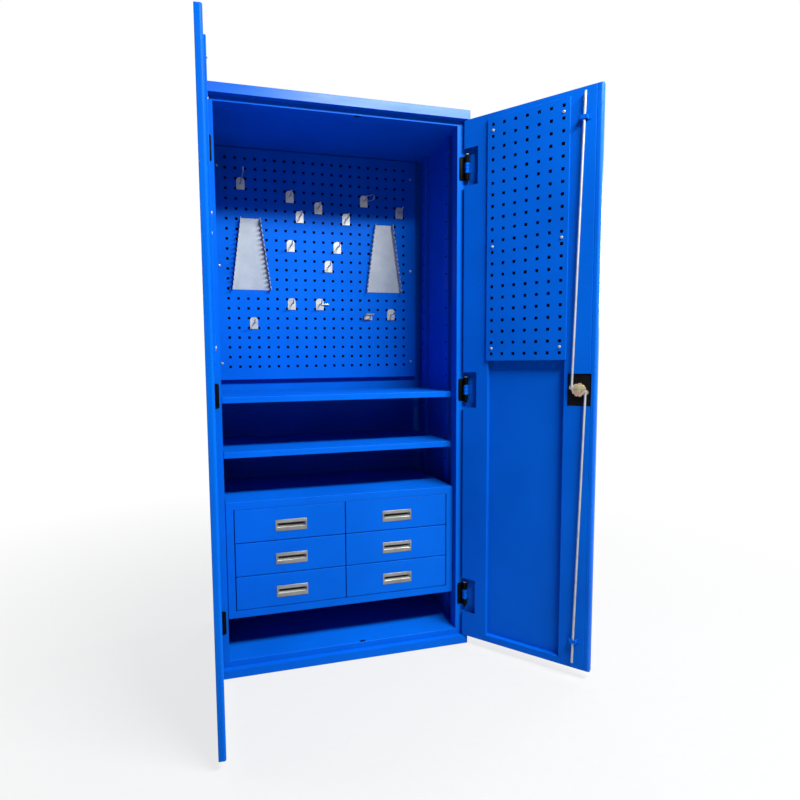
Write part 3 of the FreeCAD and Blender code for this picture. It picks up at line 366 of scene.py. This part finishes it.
def apply(piece, kind, **settings):
    """Add a modifier to a piece and apply it."""
    alone(piece)
    step = piece.modifiers.new(kind.lower(), kind)
    for key, value in settings.items():
        setattr(step, key, value)
    bpy.ops.object.modifier_apply(modifier=step.name)


def soften(piece, width, segments=2, angle=35):
    limit = math.radians(angle)
    apply(piece, "BEVEL", width=width, segments=segments, limit_method="ANGLE", angle_limit=limit)


def combine(piece, other, operation):
    """Take another piece away from a piece, or add it, and use it up."""
    apply(piece, "BOOLEAN", object=other, operation=operation, solver="EXACT")
    bpy.data.objects.remove(other)


def copied(piece, name, move):
    """A copy of a piece with its own mesh, moved in its mesh."""
    twin = piece.copy()
    twin.data = piece.data.copy()
    twin.name = twin.data.name = name
    twin.data.transform(move)
    bpy.context.scene.collection.objects.link(twin)
    return twin


def join(pieces, name):
    alone(pieces[0])
    for piece in pieces:
        piece.select_set(True)
    bpy.ops.object.join()
    pieces[0].name = pieces[0].data.name = name
    return pieces[0]


def fit(piece, body, slot, *nodes, finish=None):
    """Give a piece its finish and its body, and let it stand for its nodes."""
    alone(piece)
    piece.data.materials.clear()
    piece.data.materials.append(finish or finishes[slot])
    bpy.ops.object.shade_smooth_by_angle(angle=SMOOTH_ANGLE)
    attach(piece, body)
    if nodes:
        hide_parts(*nodes)


def mended(node, name, move):
    """A copy of a node's mesh to work on, its points merged and its stored normals cleared."""
    sheet = copied(frame["nodes"][node], name, move)
    sheet.parent = None
    alone(sheet)
    bpy.ops.object.mode_set(mode="EDIT")
    bpy.ops.mesh.select_all(action="SELECT")
    bpy.ops.mesh.remove_doubles(threshold=MERGE)
    alone(sheet)
    bpy.ops.mesh.customdata_custom_splitnormals_clear()
    return sheet


def solids(name):
    """The corners of each separate solid in a node."""
    mended(name, "spare", Matrix())
    bpy.ops.object.mode_set(mode="EDIT")
    bpy.ops.mesh.select_all(action="SELECT")
    bpy.ops.mesh.separate(type="LOOSE")
    bpy.ops.object.mode_set(mode="OBJECT")
    pieces = list(bpy.context.selected_objects)
    corners = [[point.co.copy() for point in piece.data.vertices] for piece in pieces]
    for piece in pieces:
        bpy.data.objects.remove(piece)
    return corners


# Where the doors hang
joints = {joint["name"]: joint for joint in frame["joints"]}


def door_place(side):
    """From the closed door, its hinge at the origin, to where the door stands open."""
    joint = joints[side + "_door_hinge"]
    turn = -math.radians(joint["range_deg"][0]) * joint["axis"][2]
    x, y, _ = joint["pos_m"]
    return Matrix.Translation((x, y, 0)) @ Matrix.Rotation(turn, 4, "Z")


# Screws: a domed head with a crossed slot
SCREW_RADIUS = 4.8 * MM
SCREW_RISE = 2.6 * MM
SCREW_DOME = 2.1 * MM
SCREW_SLOT = 2.9 * MM, 0.6 * MM, 1.4 * MM
SCREW_TURN_FIRST, SCREW_TURN_STEP = 0.3, 0.7


def screw_head():
    head = begin(
        bpy.ops.mesh.primitive_cylinder_add, "screw_head",
        vertices=24, radius=SCREW_RADIUS, depth=SCREW_RISE, location=(0, 0, SCREW_RISE / 2),
    )
    pick(head, "EDGE", lambda a, b: min(a.z, b.z) > SCREW_RISE - CLOSE)
    bpy.ops.mesh.bevel(offset=SCREW_DOME, offset_type="OFFSET", segments=5, affect="EDGES")
    alone(head)
    reach, half, depth = SCREW_SLOT
    for name, low, high in (
        ("slot_along", (-reach, -half, SCREW_RISE - depth), (reach, half, SCREW_RISE * 2)),
        ("slot_across", (-half, -reach, SCREW_RISE - depth), (half, reach, SCREW_RISE * 2)),
    ):
        combine(head, block(name, low, high), "DIFFERENCE")
    return head


def screws():
    head = screw_head()
    right, left = (door_place(side).to_3x3() @ Vector((0, 1, 0)) for side in ("right", "left"))
    for name, body, out in (
        ("tool_panel", "cabinet", Vector((0, -1, 0))),
        ("right_door_panel", "right_door", right),
        ("left_door_panel", "left_door", left),
    ):
        aim = Vector((0, 0, 1)).rotation_difference(out).to_matrix().to_4x4()
        heads = []
        for index, corners in enumerate(solids(name + "_screws")):
            floor = min(corner.dot(out) for corner in corners)
            ring = [corner for corner in corners if corner.dot(out) < floor + CLOSE]
            base = sum(ring, Vector()) / len(ring)
            turn = Matrix.Rotation(SCREW_TURN_STEP * index + SCREW_TURN_FIRST, 4, "Z")
            heads.append(copied(head, f"head_{index}", Matrix.Translation(base) @ aim @ turn))
        fit(join(heads, name + "_cross_screws"), body, "zinc", name + "_screws")
    bpy.data.objects.remove(head)


# Drawer pulls: a plate with a cup behind it and a scooped finger recess
PULL_PLATE = 1.6 * MM
CUP_INSET = 5.5 * MM
CUP_WALL = 1.9 * MM
MOUTH_INSET = 4.5 * MM
MOUTH_ZONE = 6 * MM
PARTING_DROP = 2 * MM
PULL_SOFT = 0.8 * MM
MOUTH_DROP, MOUTH_LIFT = 7.5 * MM, 9.5 * MM
SCOOP_TOP, SCOOP_BOTTOM, SCOOP_SIDE = 4.5 * MM, 6 * MM, 9 * MM


def cast_pull(low, high):
    """A plate with a cup drawn out of its back and a recess that rises inside the cup."""
    x0, y0, z0 = low
    x1, y1, z1 = high
    pull = block("pull", low, (x1, y0 + PULL_PLATE, z1))
    pick(pull, "FACE", lambda centre, normal: normal.y > 0.5)
    bpy.ops.mesh.inset(thickness=CUP_INSET)
    pull_out((0, y1 - y0 - PULL_PLATE, 0))
    pick(pull, "FACE", lambda centre, normal: normal.y < -0.5)
    bpy.ops.mesh.inset(thickness=MOUTH_INSET)
    rim = MOUTH_INSET - MM
    inside = x0 + rim, x1 - rim, z0 + rim, z1 - rim

    def within(point, depth):
        x_near, x_far, z_low, z_high = inside
        return x_near < point.x < x_far and z_low < point.z < z_high and abs(point.y - depth) < CLOSE

    middle = Vector(((x0 + x1) / 2, 0, (z0 + z1) / 2))
    pick(pull, "VERT", lambda p: within(p, y0) and p.z > middle.z)
    shift((0, 0, -MOUTH_DROP))
    pick(pull, "VERT", lambda p: within(p, y0) and p.z < middle.z)
    shift((0, 0, MOUTH_LIFT))
    pick(
        pull, "FACE",
        lambda centre, normal: within(centre, y0) and (centre - middle).xz.length < MOUTH_ZONE,
    )
    floor = y1 - CUP_WALL
    parting = middle.z - PARTING_DROP
    pull_out((0, floor - y0, 0))
    pick(pull, "VERT", lambda p: within(p, floor) and p.z > parting)
    shift((0, 0, SCOOP_TOP))
    pick(pull, "VERT", lambda p: within(p, floor) and p.z < parting)
    shift((0, 0, SCOOP_BOTTOM))
    for sign in (-1, 1):
        pick(pull, "VERT", lambda p: within(p, floor) and (p.x - middle.x) * sign > 0)
        shift((-SCOOP_SIDE * sign, 0, 0))
    soften(pull, PULL_SOFT, 3)
    return pull


def pulls():
    stems = [f"{row}_{side}_drawer" for side in ("left", "right") for row in ("lower", "middle", "upper")]
    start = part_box(stems[0] + "_pull")
    model = cast_pull(*start)
    for stem in stems:
        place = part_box(stem + "_pull")
        move = Matrix.Translation(Vector(place[0]) - Vector(start[0]))
        fit(copied(model, stem + "_cast_pull", move), stem, "pull_metal", stem + "_pull")
    bpy.data.objects.remove(model)


# Lock: a scalloped cam with two pins, and a strap across it in the place of the nut
CAM_RADIUS = 21.5 * MM
LUG_RADIUS = 8 * MM
PIN_RADIUS, PIN_ARM, PIN_ANGLE = 3 * MM, 22 * MM, math.radians(20)
BITE_RADIUS, BITE_ARM, BITE_ANGLES = 4 * MM, 23 * MM, (60, 105, 225, 265, 305)
BOSS_RADIUS, BOSS_RISE = 9.5 * MM, 5.1 * MM
CAM_BASE, CAM_FACE, PIN_END = -5 * MM, -2 * MM, 5.5 * MM
SUNK = 0.2 * MM
CAM_SOFT, PIN_SOFT, BOSS_SOFT, STRAP_SOFT = 0.5 * MM, 0.6 * MM, 0.8 * MM, 1.1 * MM
STRAP_LOW = Vector((-18.5, 3.2, 0.5)) * MM
STRAP_HIGH = Vector((12.2, 6.6, 15.5)) * MM
STRAP_CORNER = 6.5 * MM


def disc(name, x, z, radius, start, stop, sides=48):
    """A round piece of the lock, from one depth of the door to another."""
    return begin(
        bpy.ops.mesh.primitive_cylinder_add, name, vertices=sides, radius=radius, depth=stop - start,
        location=(x, (start + stop) / 2, z), rotation=(math.pi / 2, 0, 0),
    )


def scalloped_cam(middle):
    base, face, far = (middle.y + level for level in (CAM_BASE, CAM_FACE, PIN_END))
    pin = Vector((math.cos(PIN_ANGLE), math.sin(PIN_ANGLE))) * PIN_ARM
    spots = [(middle.x + pin.x, middle.z + pin.y), (middle.x - pin.x, middle.z - pin.y)]
    plate = disc("cam_plate", middle.x, middle.z, CAM_RADIUS, base, face)
    for x, z in spots:
        combine(plate, disc("lug", x, z, LUG_RADIUS, base, face), "UNION")
    for turn in map(math.radians, BITE_ANGLES):
        x, z = middle.x - math.cos(turn) * BITE_ARM, middle.z + math.sin(turn) * BITE_ARM
        bite = disc("bite", x, z, BITE_RADIUS, base - OVERRUN, face + OVERRUN, 20)
        combine(plate, bite, "DIFFERENCE")
    soften(plate, CAM_SOFT)
    pins = [
        disc(f"pin_{index}", x, z, PIN_RADIUS, face - SUNK, far, 24)
        for index, (x, z) in enumerate(spots)
    ]
    for piece in pins:
        soften(piece, PIN_SOFT)
    boss = disc("boss", middle.x, middle.z, BOSS_RADIUS, face - SUNK, face + BOSS_RISE, 32)
    soften(boss, BOSS_SOFT)
    return join([plate, boss] + pins, "scalloped_cam")


def cam_strap(middle):
    seat = Vector((middle.x, middle.y + CAM_FACE, middle.z))
    strap = block("cam_strap", seat + STRAP_LOW, seat + STRAP_HIGH)
    pick(strap, "EDGE", lambda a, b: abs(a.x - b.x) < CLOSE and abs(a.z - b.z) < CLOSE)
    bpy.ops.mesh.bevel(offset=STRAP_CORNER, segments=6, affect="EDGES")
    soften(strap, STRAP_SOFT, 3, angle=50)
    return strap


def lock():
    place = door_place("right")
    low, high = (Vector(corner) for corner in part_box("cam_nut"))
    middle = place.inverted() @ ((low + high) / 2)
    olive = passivated_zinc("olive_zinc_plate", [
        (0.30, 0.29, 0.13), (0.38, 0.36, 0.17), (0.46, 0.43, 0.24), (0.33, 0.33, 0.15),
    ])
    for piece, node, finish in (
        (scalloped_cam(middle), "lock_cam", None),
        (cam_strap(middle), "cam_nut", olive),
    ):
        piece.data.transform(place)
        fit(piece, "lock", "yellow_zinc", node, finish=finish)


# Hinges: a rounded leaf on the post with two banded barrels
LEAF_GAUGE, LEAF_REACH, LEAF_HALF, LEAF_CORNER = 2 * MM, 24 * MM, 40 * MM, 6 * MM
LEG_NEAR, LEG_FAR = -8 * MM, -5 * MM
BARREL_INNER, BARREL_RADIUS, BARREL_BANDS = 17.5 * MM, 8 * MM, 3
BUSH_RADIUS, BUSH_RISE = 5.5 * MM, 5 * MM
LEAF_SOFT, BAND_SOFT = 0.6 * MM, 0.9 * MM


def banded_leaf(seat):
    """A leaf of the right side about its own axis, its plate against the post."""
    leaf = block("leaf", (-LEAF_REACH, seat - LEAF_GAUGE, -LEAF_HALF), (LEG_FAR, seat, LEAF_HALF))
    edge = -LEAF_REACH + CLOSE
    pick(leaf, "EDGE", lambda a, b: max(a.x, b.x) < edge and abs(a.z - b.z) < CLOSE)
    bpy.ops.mesh.bevel(offset=LEAF_CORNER, segments=6, affect="EDGES")
    soften(leaf, LEAF_SOFT, angle=50)
    pieces = [leaf]
    for sign in (-1, 1):
        ends = sorted((BARREL_INNER * sign, LEAF_HALF * sign))
        pieces.append(block("leg", (LEG_NEAR, 0, ends[0]), (LEG_FAR, seat, ends[1])))
        band = (LEAF_HALF - BARREL_INNER) / BARREL_BANDS
        rings = [(band, BARREL_RADIUS)] * BARREL_BANDS + [(BUSH_RISE, BUSH_RADIUS)]
        for index, (tall, radius) in enumerate(rings):
            level = (BARREL_INNER + band * index + tall / 2) * sign
            ring = begin(
                bpy.ops.mesh.primitive_cylinder_add, "band",
                vertices=32, radius=radius, depth=tall, location=(0, 0, level),
            )
            soften(ring, BAND_SOFT, 3)
            pieces.append(ring)
    return join(pieces, "leaf_model")


def fixed_leaves():
    axis = Vector(joints["right_door_hinge"]["pos_m"])
    model = banded_leaf(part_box("hinge_fixed_leaves")[1][1] - axis.y)
    turn = {1: Matrix(), -1: Matrix.Rotation(math.pi, 4, "Y")}
    leaves = []
    for corners in solids("hinge_fixed_leaves"):
        levels = [corner.z for corner in corners]
        sign = 1 if corners[0].x > 0 else -1
        spot = Matrix.Translation((axis.x * sign, axis.y, (min(levels) + max(levels)) / 2))
        leaves.append(copied(model, "leaf", spot @ turn[sign]))
    fit(join(leaves, "banded_hinge_leaves"), "cabinet", "black_coat", "hinge_fixed_leaves")
    bpy.data.objects.remove(model)


# Hinges: grooves round the knuckles of the doors
GROOVE_RING, GROOVE_RADIUS, GROOVE_OFFSET = 8.4 * MM, 2.1 * MM, 6 * MM


def ringed_knuckles(side):
    node = side + "_door_hinge_leaves"
    x, y, _ = joints[side + "_door_hinge"]["pos_m"]
    leaves = mended(node, side + "_ringed_hinge_leaves", Matrix())
    for corners in solids(node):
        levels = [corner.z for corner in corners]
        for offset in (-GROOVE_OFFSET, GROOVE_OFFSET):
            groove = begin(
                bpy.ops.mesh.primitive_torus_add, "groove",
                location=(x, y, (min(levels) + max(levels)) / 2 + offset),
                major_radius=GROOVE_RING, minor_radius=GROOVE_RADIUS, major_segments=48, minor_segments=12,
            )
            combine(leaves, groove, "DIFFERENCE")
    fit(leaves, side + "_door", "blue_coat", node)


# Hooks: a wire loop on one and a short arm on another
LOOP_PLACE = (0.203, 0.1975, 1.705)
LOOP_RADIUS, LOOP_WIRE, LOOP_LEG, LOOP_AIM = 10.5 * MM, 1.7 * MM, 30 * MM, math.radians(-61)
ARM_LOW, ARM_HIGH = (0.0045, 0.1945, 1.274), (0.0377, 0.1978, 1.280)
ARM_END, ARM_SOFT = 2.4 * MM, 0.5 * MM


def wire_loop():
    loop = begin(
        bpy.ops.mesh.primitive_torus_add, "wire_loop", rotation=(math.pi / 2, 0, 0),
        major_radius=LOOP_RADIUS, minor_radius=LOOP_WIRE, major_segments=40, minor_segments=12,
    )
    bpy.ops.object.mode_set(mode="EDIT")
    bpy.ops.mesh.select_all(action="SELECT")
    bpy.ops.mesh.bisect(plane_co=(0, 0, 0), plane_no=(1, 0, 0), clear_inner=True)
    pick(loop, "EDGE", lambda a, b: max(a.x, b.x) < MERGE)
    pull_out((-LOOP_LEG, 0, 0))
    bpy.ops.mesh.select_all(action="SELECT")
    bpy.ops.mesh.fill_holes(sides=0)
    alone(loop)
    aim = Matrix.Rotation(LOOP_AIM, 4, "Z") @ Matrix.Translation((LOOP_LEG, 0, 0))
    loop.data.transform(Matrix.Translation(LOOP_PLACE) @ aim)
    fit(loop, "cabinet", "zinc")


def hook_arm():
    arm = block("hook_arm", ARM_LOW, ARM_HIGH)
    pick(arm, "EDGE", lambda a, b: min(a.x, b.x) > ARM_HIGH[0] - CLOSE and abs(a.y - b.y) > MM)
    bpy.ops.mesh.bevel(offset=ARM_END, segments=4, affect="EDGES")
    soften(arm, ARM_SOFT, angle=50)
    fit(arm, "cabinet", "zinc")


# Uprights: one length with its slot, repeated up the wall
SLOT_PITCH = 64.3 * MM
SLOT_MARGIN = 47 * MM
SLOT_COUNT = 27
SLOT_HALF_WIDTH, SLOT_HALF_HEIGHT, SLOT_DEPTH = 8 * MM, 3.5 * MM, 11 * MM
UPRIGHT_FOLD = 2 * MM


def slotted_upright(low, high):
    middle = (low[1] + high[1]) / 2
    first = high[2] - SLOT_MARGIN - SLOT_PITCH * (SLOT_COUNT - 1)
    half = SLOT_PITCH / 2
    piece = block("upright", (low[0], low[1], first - half), (high[0], high[1], first + half))
    pick(piece, "FACE", lambda centre, normal: abs(normal.z) > 0.5)
    bpy.ops.mesh.delete(type="FACE")
    pick(piece, "EDGE", lambda a, b: max(a.x, b.x) < low[0] + CLOSE and abs(a.z - b.z) > MM)
    bpy.ops.mesh.bevel(offset=UPRIGHT_FOLD, segments=3, affect="EDGES")
    for place, across in (
        ((0, middle - SLOT_HALF_WIDTH, 0), (0, 1, 0)), ((0, middle + SLOT_HALF_WIDTH, 0), (0, 1, 0)),
        ((0, 0, first - SLOT_HALF_HEIGHT), (0, 0, 1)), ((0, 0, first + SLOT_HALF_HEIGHT), (0, 0, 1)),
    ):
        bpy.ops.mesh.select_all(action="SELECT")
        bpy.ops.mesh.bisect(plane_co=place, plane_no=across)
    slot = Vector((low[0], middle, first))
    pick(piece, "FACE", lambda centre, normal: (centre - slot).length < MM)
    pull_out((SLOT_DEPTH, 0, 0))
    apply(
        piece, "ARRAY", count=SLOT_COUNT, use_relative_offset=False, use_constant_offset=True,
        constant_offset_displace=(0, 0, SLOT_PITCH), use_merge_vertices=True, merge_threshold=MERGE,
    )
    last = first + SLOT_PITCH * (SLOT_COUNT - 1)
    pick(piece, "VERT", lambda point: point.z > last + half - CLOSE)
    shift((0, 0, high[2] - last - half))
    pick(piece, "VERT", lambda point: point.z < first - half + CLOSE)
    shift((0, 0, low[2] - first + half))
    bpy.ops.mesh.select_all(action="SELECT")
    bpy.ops.mesh.fill_holes(sides=0)
    alone(piece)
    return piece


def uprights():
    shapes = [
        ([min(axis) for axis in zip(*corners)], [max(axis) for axis in zip(*corners)])
        for corners in solids("shelf_uprights")
    ]
    low, high = next(shape for shape in shapes if shape[0][0] > 0 > shape[0][1])
    middle = (low[1] + high[1]) / 2
    piece = slotted_upright(low, high)
    row = []
    for start, stop in shapes:
        spot = (start[1] + stop[1]) / 2
        if start[0] > 0:
            move = Matrix.Translation((0, spot - middle, 0))
        else:
            move = Matrix.Translation((0, spot + middle, 0)) @ Matrix.Rotation(math.pi, 4, "Z")
        row.append(copied(piece, "upright", move))
    fit(join(row, "slotted_uprights"), "cabinet", "blue_coat", "shelf_uprights")
    bpy.data.objects.remove(piece)


# Doors: the sheet rolled round at the free edge instead of a sharp corner
EDGE_ROLL = 8 * MM
SEAM = 18 * MM
SEAM_HALF = 1.5 * MM
SEAM_DEPTH = MM
CORNER_ZONE = 2.1 * MM


def roll_skin(skin, sign, reach, face):
    """Take the end wall of the skin down to where the roll begins."""
    top = max(point.co.y for point in skin.data.vertices)
    edge = reach - CORNER_ZONE
    alone(skin)
    pick(skin, "VERT", lambda p: p.x * sign > edge and p.y > top - 2 * CLOSE)
    shift((0, face - EDGE_ROLL - top, 0))


def roll_frame(inner, sign, reach, face):
    """Draw the inner frame back to where the roll begins, and press the seam into its face."""
    edge = reach - CORNER_ZONE
    alone(inner)
    pick(inner, "VERT", lambda p: p.x * sign > edge)
    shift((-EDGE_ROLL * sign, 0, 0))
    for distance in (SEAM - SEAM_HALF, SEAM, SEAM + SEAM_HALF):
        bpy.ops.mesh.select_all(action="SELECT")
        bpy.ops.mesh.bisect(plane_co=(sign * (reach - distance), 0, 0), plane_no=(1, 0, 0))
    seam, level = reach - SEAM, face - CLOSE
    pick(inner, "VERT", lambda p: abs(p.x * sign - seam) < CLOSE and p.y > level)
    shift((0, -SEAM_DEPTH, 0))
    alone(inner)


def roll_bar(name, sign, reach, face, low, high):
    """The quarter round that closes the corner between skin and frame."""
    centre = (sign * (reach - EDGE_ROLL), face - EDGE_ROLL, (low + high) / 2)
    bar = begin(
        bpy.ops.mesh.primitive_cylinder_add, name,
        vertices=64, radius=EDGE_ROLL, depth=high - low, location=centre,
    )
    for across in ((sign, 0, 0), (0, 1, 0)):
        bpy.ops.object.mode_set(mode="EDIT")
        bpy.ops.mesh.select_all(action="SELECT")
        bpy.ops.mesh.bisect(plane_co=centre, plane_no=across, use_fill=True, clear_inner=True)
    alone(bar)
    return bar


def skin_coat(side, place, sign, outside):
    """The coat of a door's skin, with painted shade on it behind the perforated panel."""
    out, along = (place.to_3x3() @ Vector(way) for way in ((0, -1, 0), (sign, 0, 0)))
    depth = place.translation.dot(out) - outside - HOLE_SHADE_BEHIND
    cover = [point.co for point in frame["nodes"][side + "_door_perforated_panel"].data.vertices]
    spread, rise = [point.dot(along) for point in cover], [point.z for point in cover]
    behind_panel_shade = out, depth, along, min(spread), max(spread), min(rise), max(rise)
    return powder_coat(side + "_door_coat", DEEP_BLUE, FULL_BLUE, primer=behind_panel_shade)


def rolled_edge(side):
    place = door_place(side)
    sign = -1 if side == "right" else 1
    skin, inner = (
        mended(f"{side}_door_{part}", f"{side}_rolled_{part}", place.inverted())
        for part in ("skin", "inner_frame")
    )
    reach = max(point.co.x * sign for point in skin.data.vertices)
    outside = min(point.co.y for point in skin.data.vertices)
    face = max(point.co.y for point in inner.data.vertices)
    levels = [point.co.z for point in skin.data.vertices]
    roll_skin(skin, sign, reach, face)
    roll_frame(inner, sign, reach, face)
    bar = roll_bar(f"{side}_door_rolled_edge", sign, reach, face, min(levels), max(levels))
    for piece, nodes, finish in (
        (skin, [f"{side}_door_skin"], skin_coat(side, place, sign, outside)),
        (inner, [f"{side}_door_inner_frame"], None),
        (bar, [], bright_blue if side == "right" else None),
    ):
        piece.data.transform(place)
        fit(piece, side + "_door", "blue_coat", *nodes, finish=finish)


screws()
pulls()
lock()
fixed_leaves()
ringed_knuckles("right")
ringed_knuckles("left")
wire_loop()
hook_arm()
uprights()
rolled_edge("right")
rolled_edge("left")


# Studio
FLOOR_SIZE = 60
FLOOR_NEAR, FLOOR_FAR, FLOOR_SHARE = 0.7, 2.6, 0.74
AIR = 0.09


def floor_finish():
    """Pale floor: it takes the object's shadow and reads as white to the eye."""
    paint = Finish("pale_floor")
    grit = paint.noise(40, 3, 0.5)
    colour = paint.ramp(grit, (0.3, (0.34, 0.35, 0.36)), (0.7, (0.38, 0.38, 0.39)))
    matt = paint.node("BsdfDiffuse", {}, {"Color": colour})
    white = paint.node("Emission", {}, {"Color": (1, 1, 1, 1), "Strength": 1.0})
    away = paint.node("VectorMath", {"operation": "LENGTH"}, {0: paint.place()}, "Value")
    share = paint.looked_at() * paint.grade(away, FLOOR_NEAR, FLOOR_FAR, FLOOR_SHARE, 1.0)
    paint.end(paint.node("MixShader", {}, {0: share, 1: matt, 2: white}))
    return paint.material


def softbox(name, place, aim, width, height, watts):
    lamp = bpy.data.lights.new(name, "AREA")
    lamp.shape = "RECTANGLE"
    lamp.size = width
    lamp.size_y = height
    lamp.energy = watts
    stand = bpy.data.objects.new(name, lamp)
    stand.location = place
    stand.rotation_euler = Vector(aim).to_track_quat("-Z", "Y").to_euler()
    bpy.context.scene.collection.objects.link(stand)


def studio():
    bpy.ops.object.select_all(action="DESELECT")
    bpy.ops.mesh.primitive_plane_add(size=FLOOR_SIZE, location=(0, 0, 0))
    floor = bpy.context.object
    floor.name = "floor"
    floor.data.materials.append(floor_finish())
    softbox("key", (1.2, -2.1, 3.05), aim=(-0.1, 0.32, -1.0), width=2.0, height=0.3, watts=265)
    softbox("left_back", (-2.4, 4.4, 2.6), aim=(0.5, -1.0, -0.35), width=2.0, height=2.0, watts=130)
    softbox("right_back", (2.6, 4.4, 2.6), aim=(-0.5, -1.0, -0.35), width=2.0, height=2.0, watts=130)
    softbox("left_side", (-4.0, 1.0, 2.0), aim=(1.0, -0.25, -0.2), width=1.2, height=1.2, watts=90)
    softbox("right_side", (4.0, 1.0, 2.0), aim=(-1.0, -0.25, -0.2), width=1.2, height=1.2, watts=90)
    world = bpy.data.worlds.new("studio")
    world.use_nodes = True
    bpy.context.scene.world = world
    air = Finish("studio", world.node_tree)
    strength = AIR + air.looked_at() * (1 - AIR)
    sky = air.node("Background", {}, {"Color": (1, 1, 1, 1), "Strength": strength})
    air.end(sky, "OutputWorld")


def camera():
    """The camera stands where the photograph was taken from."""
    eye = Vector((-0.4680, -2.0367, 1.0471))
    yaw, pitch, roll = 0.2583, -0.0838, -0.0117
    focal, centre = 556.1, (350.3, 407.8)
    ahead = Vector((math.sin(yaw) * math.cos(pitch), math.cos(yaw) * math.cos(pitch), math.sin(pitch)))
    level = Vector((math.cos(yaw), -math.sin(yaw), 0))
    upright = level.cross(ahead)
    across = math.cos(roll) * level + math.sin(roll) * upright
    rise = -math.sin(roll) * level + math.cos(roll) * upright
    lens = bpy.data.cameras.new("camera")
    lens.sensor_fit = "HORIZONTAL"
    lens.sensor_width = SENSOR
    lens.lens = SENSOR * focal / PICTURE
    lens.shift_x = 0.5 - centre[0] / PICTURE
    lens.shift_y = centre[1] / PICTURE - 0.5
    lens.clip_end = VIEW_END
    seat = bpy.data.objects.new("camera", lens)
    seat.matrix_world = Matrix((
        (across.x, rise.x, -ahead.x, eye.x),
        (across.y, rise.y, -ahead.y, eye.y),
        (across.z, rise.z, -ahead.z, eye.z),
        (0, 0, 0, 1),
    ))
    bpy.context.scene.collection.objects.link(seat)
    bpy.context.scene.camera = seat


studio()
camera()
bpy.context.scene.view_settings.view_transform = "Standard"
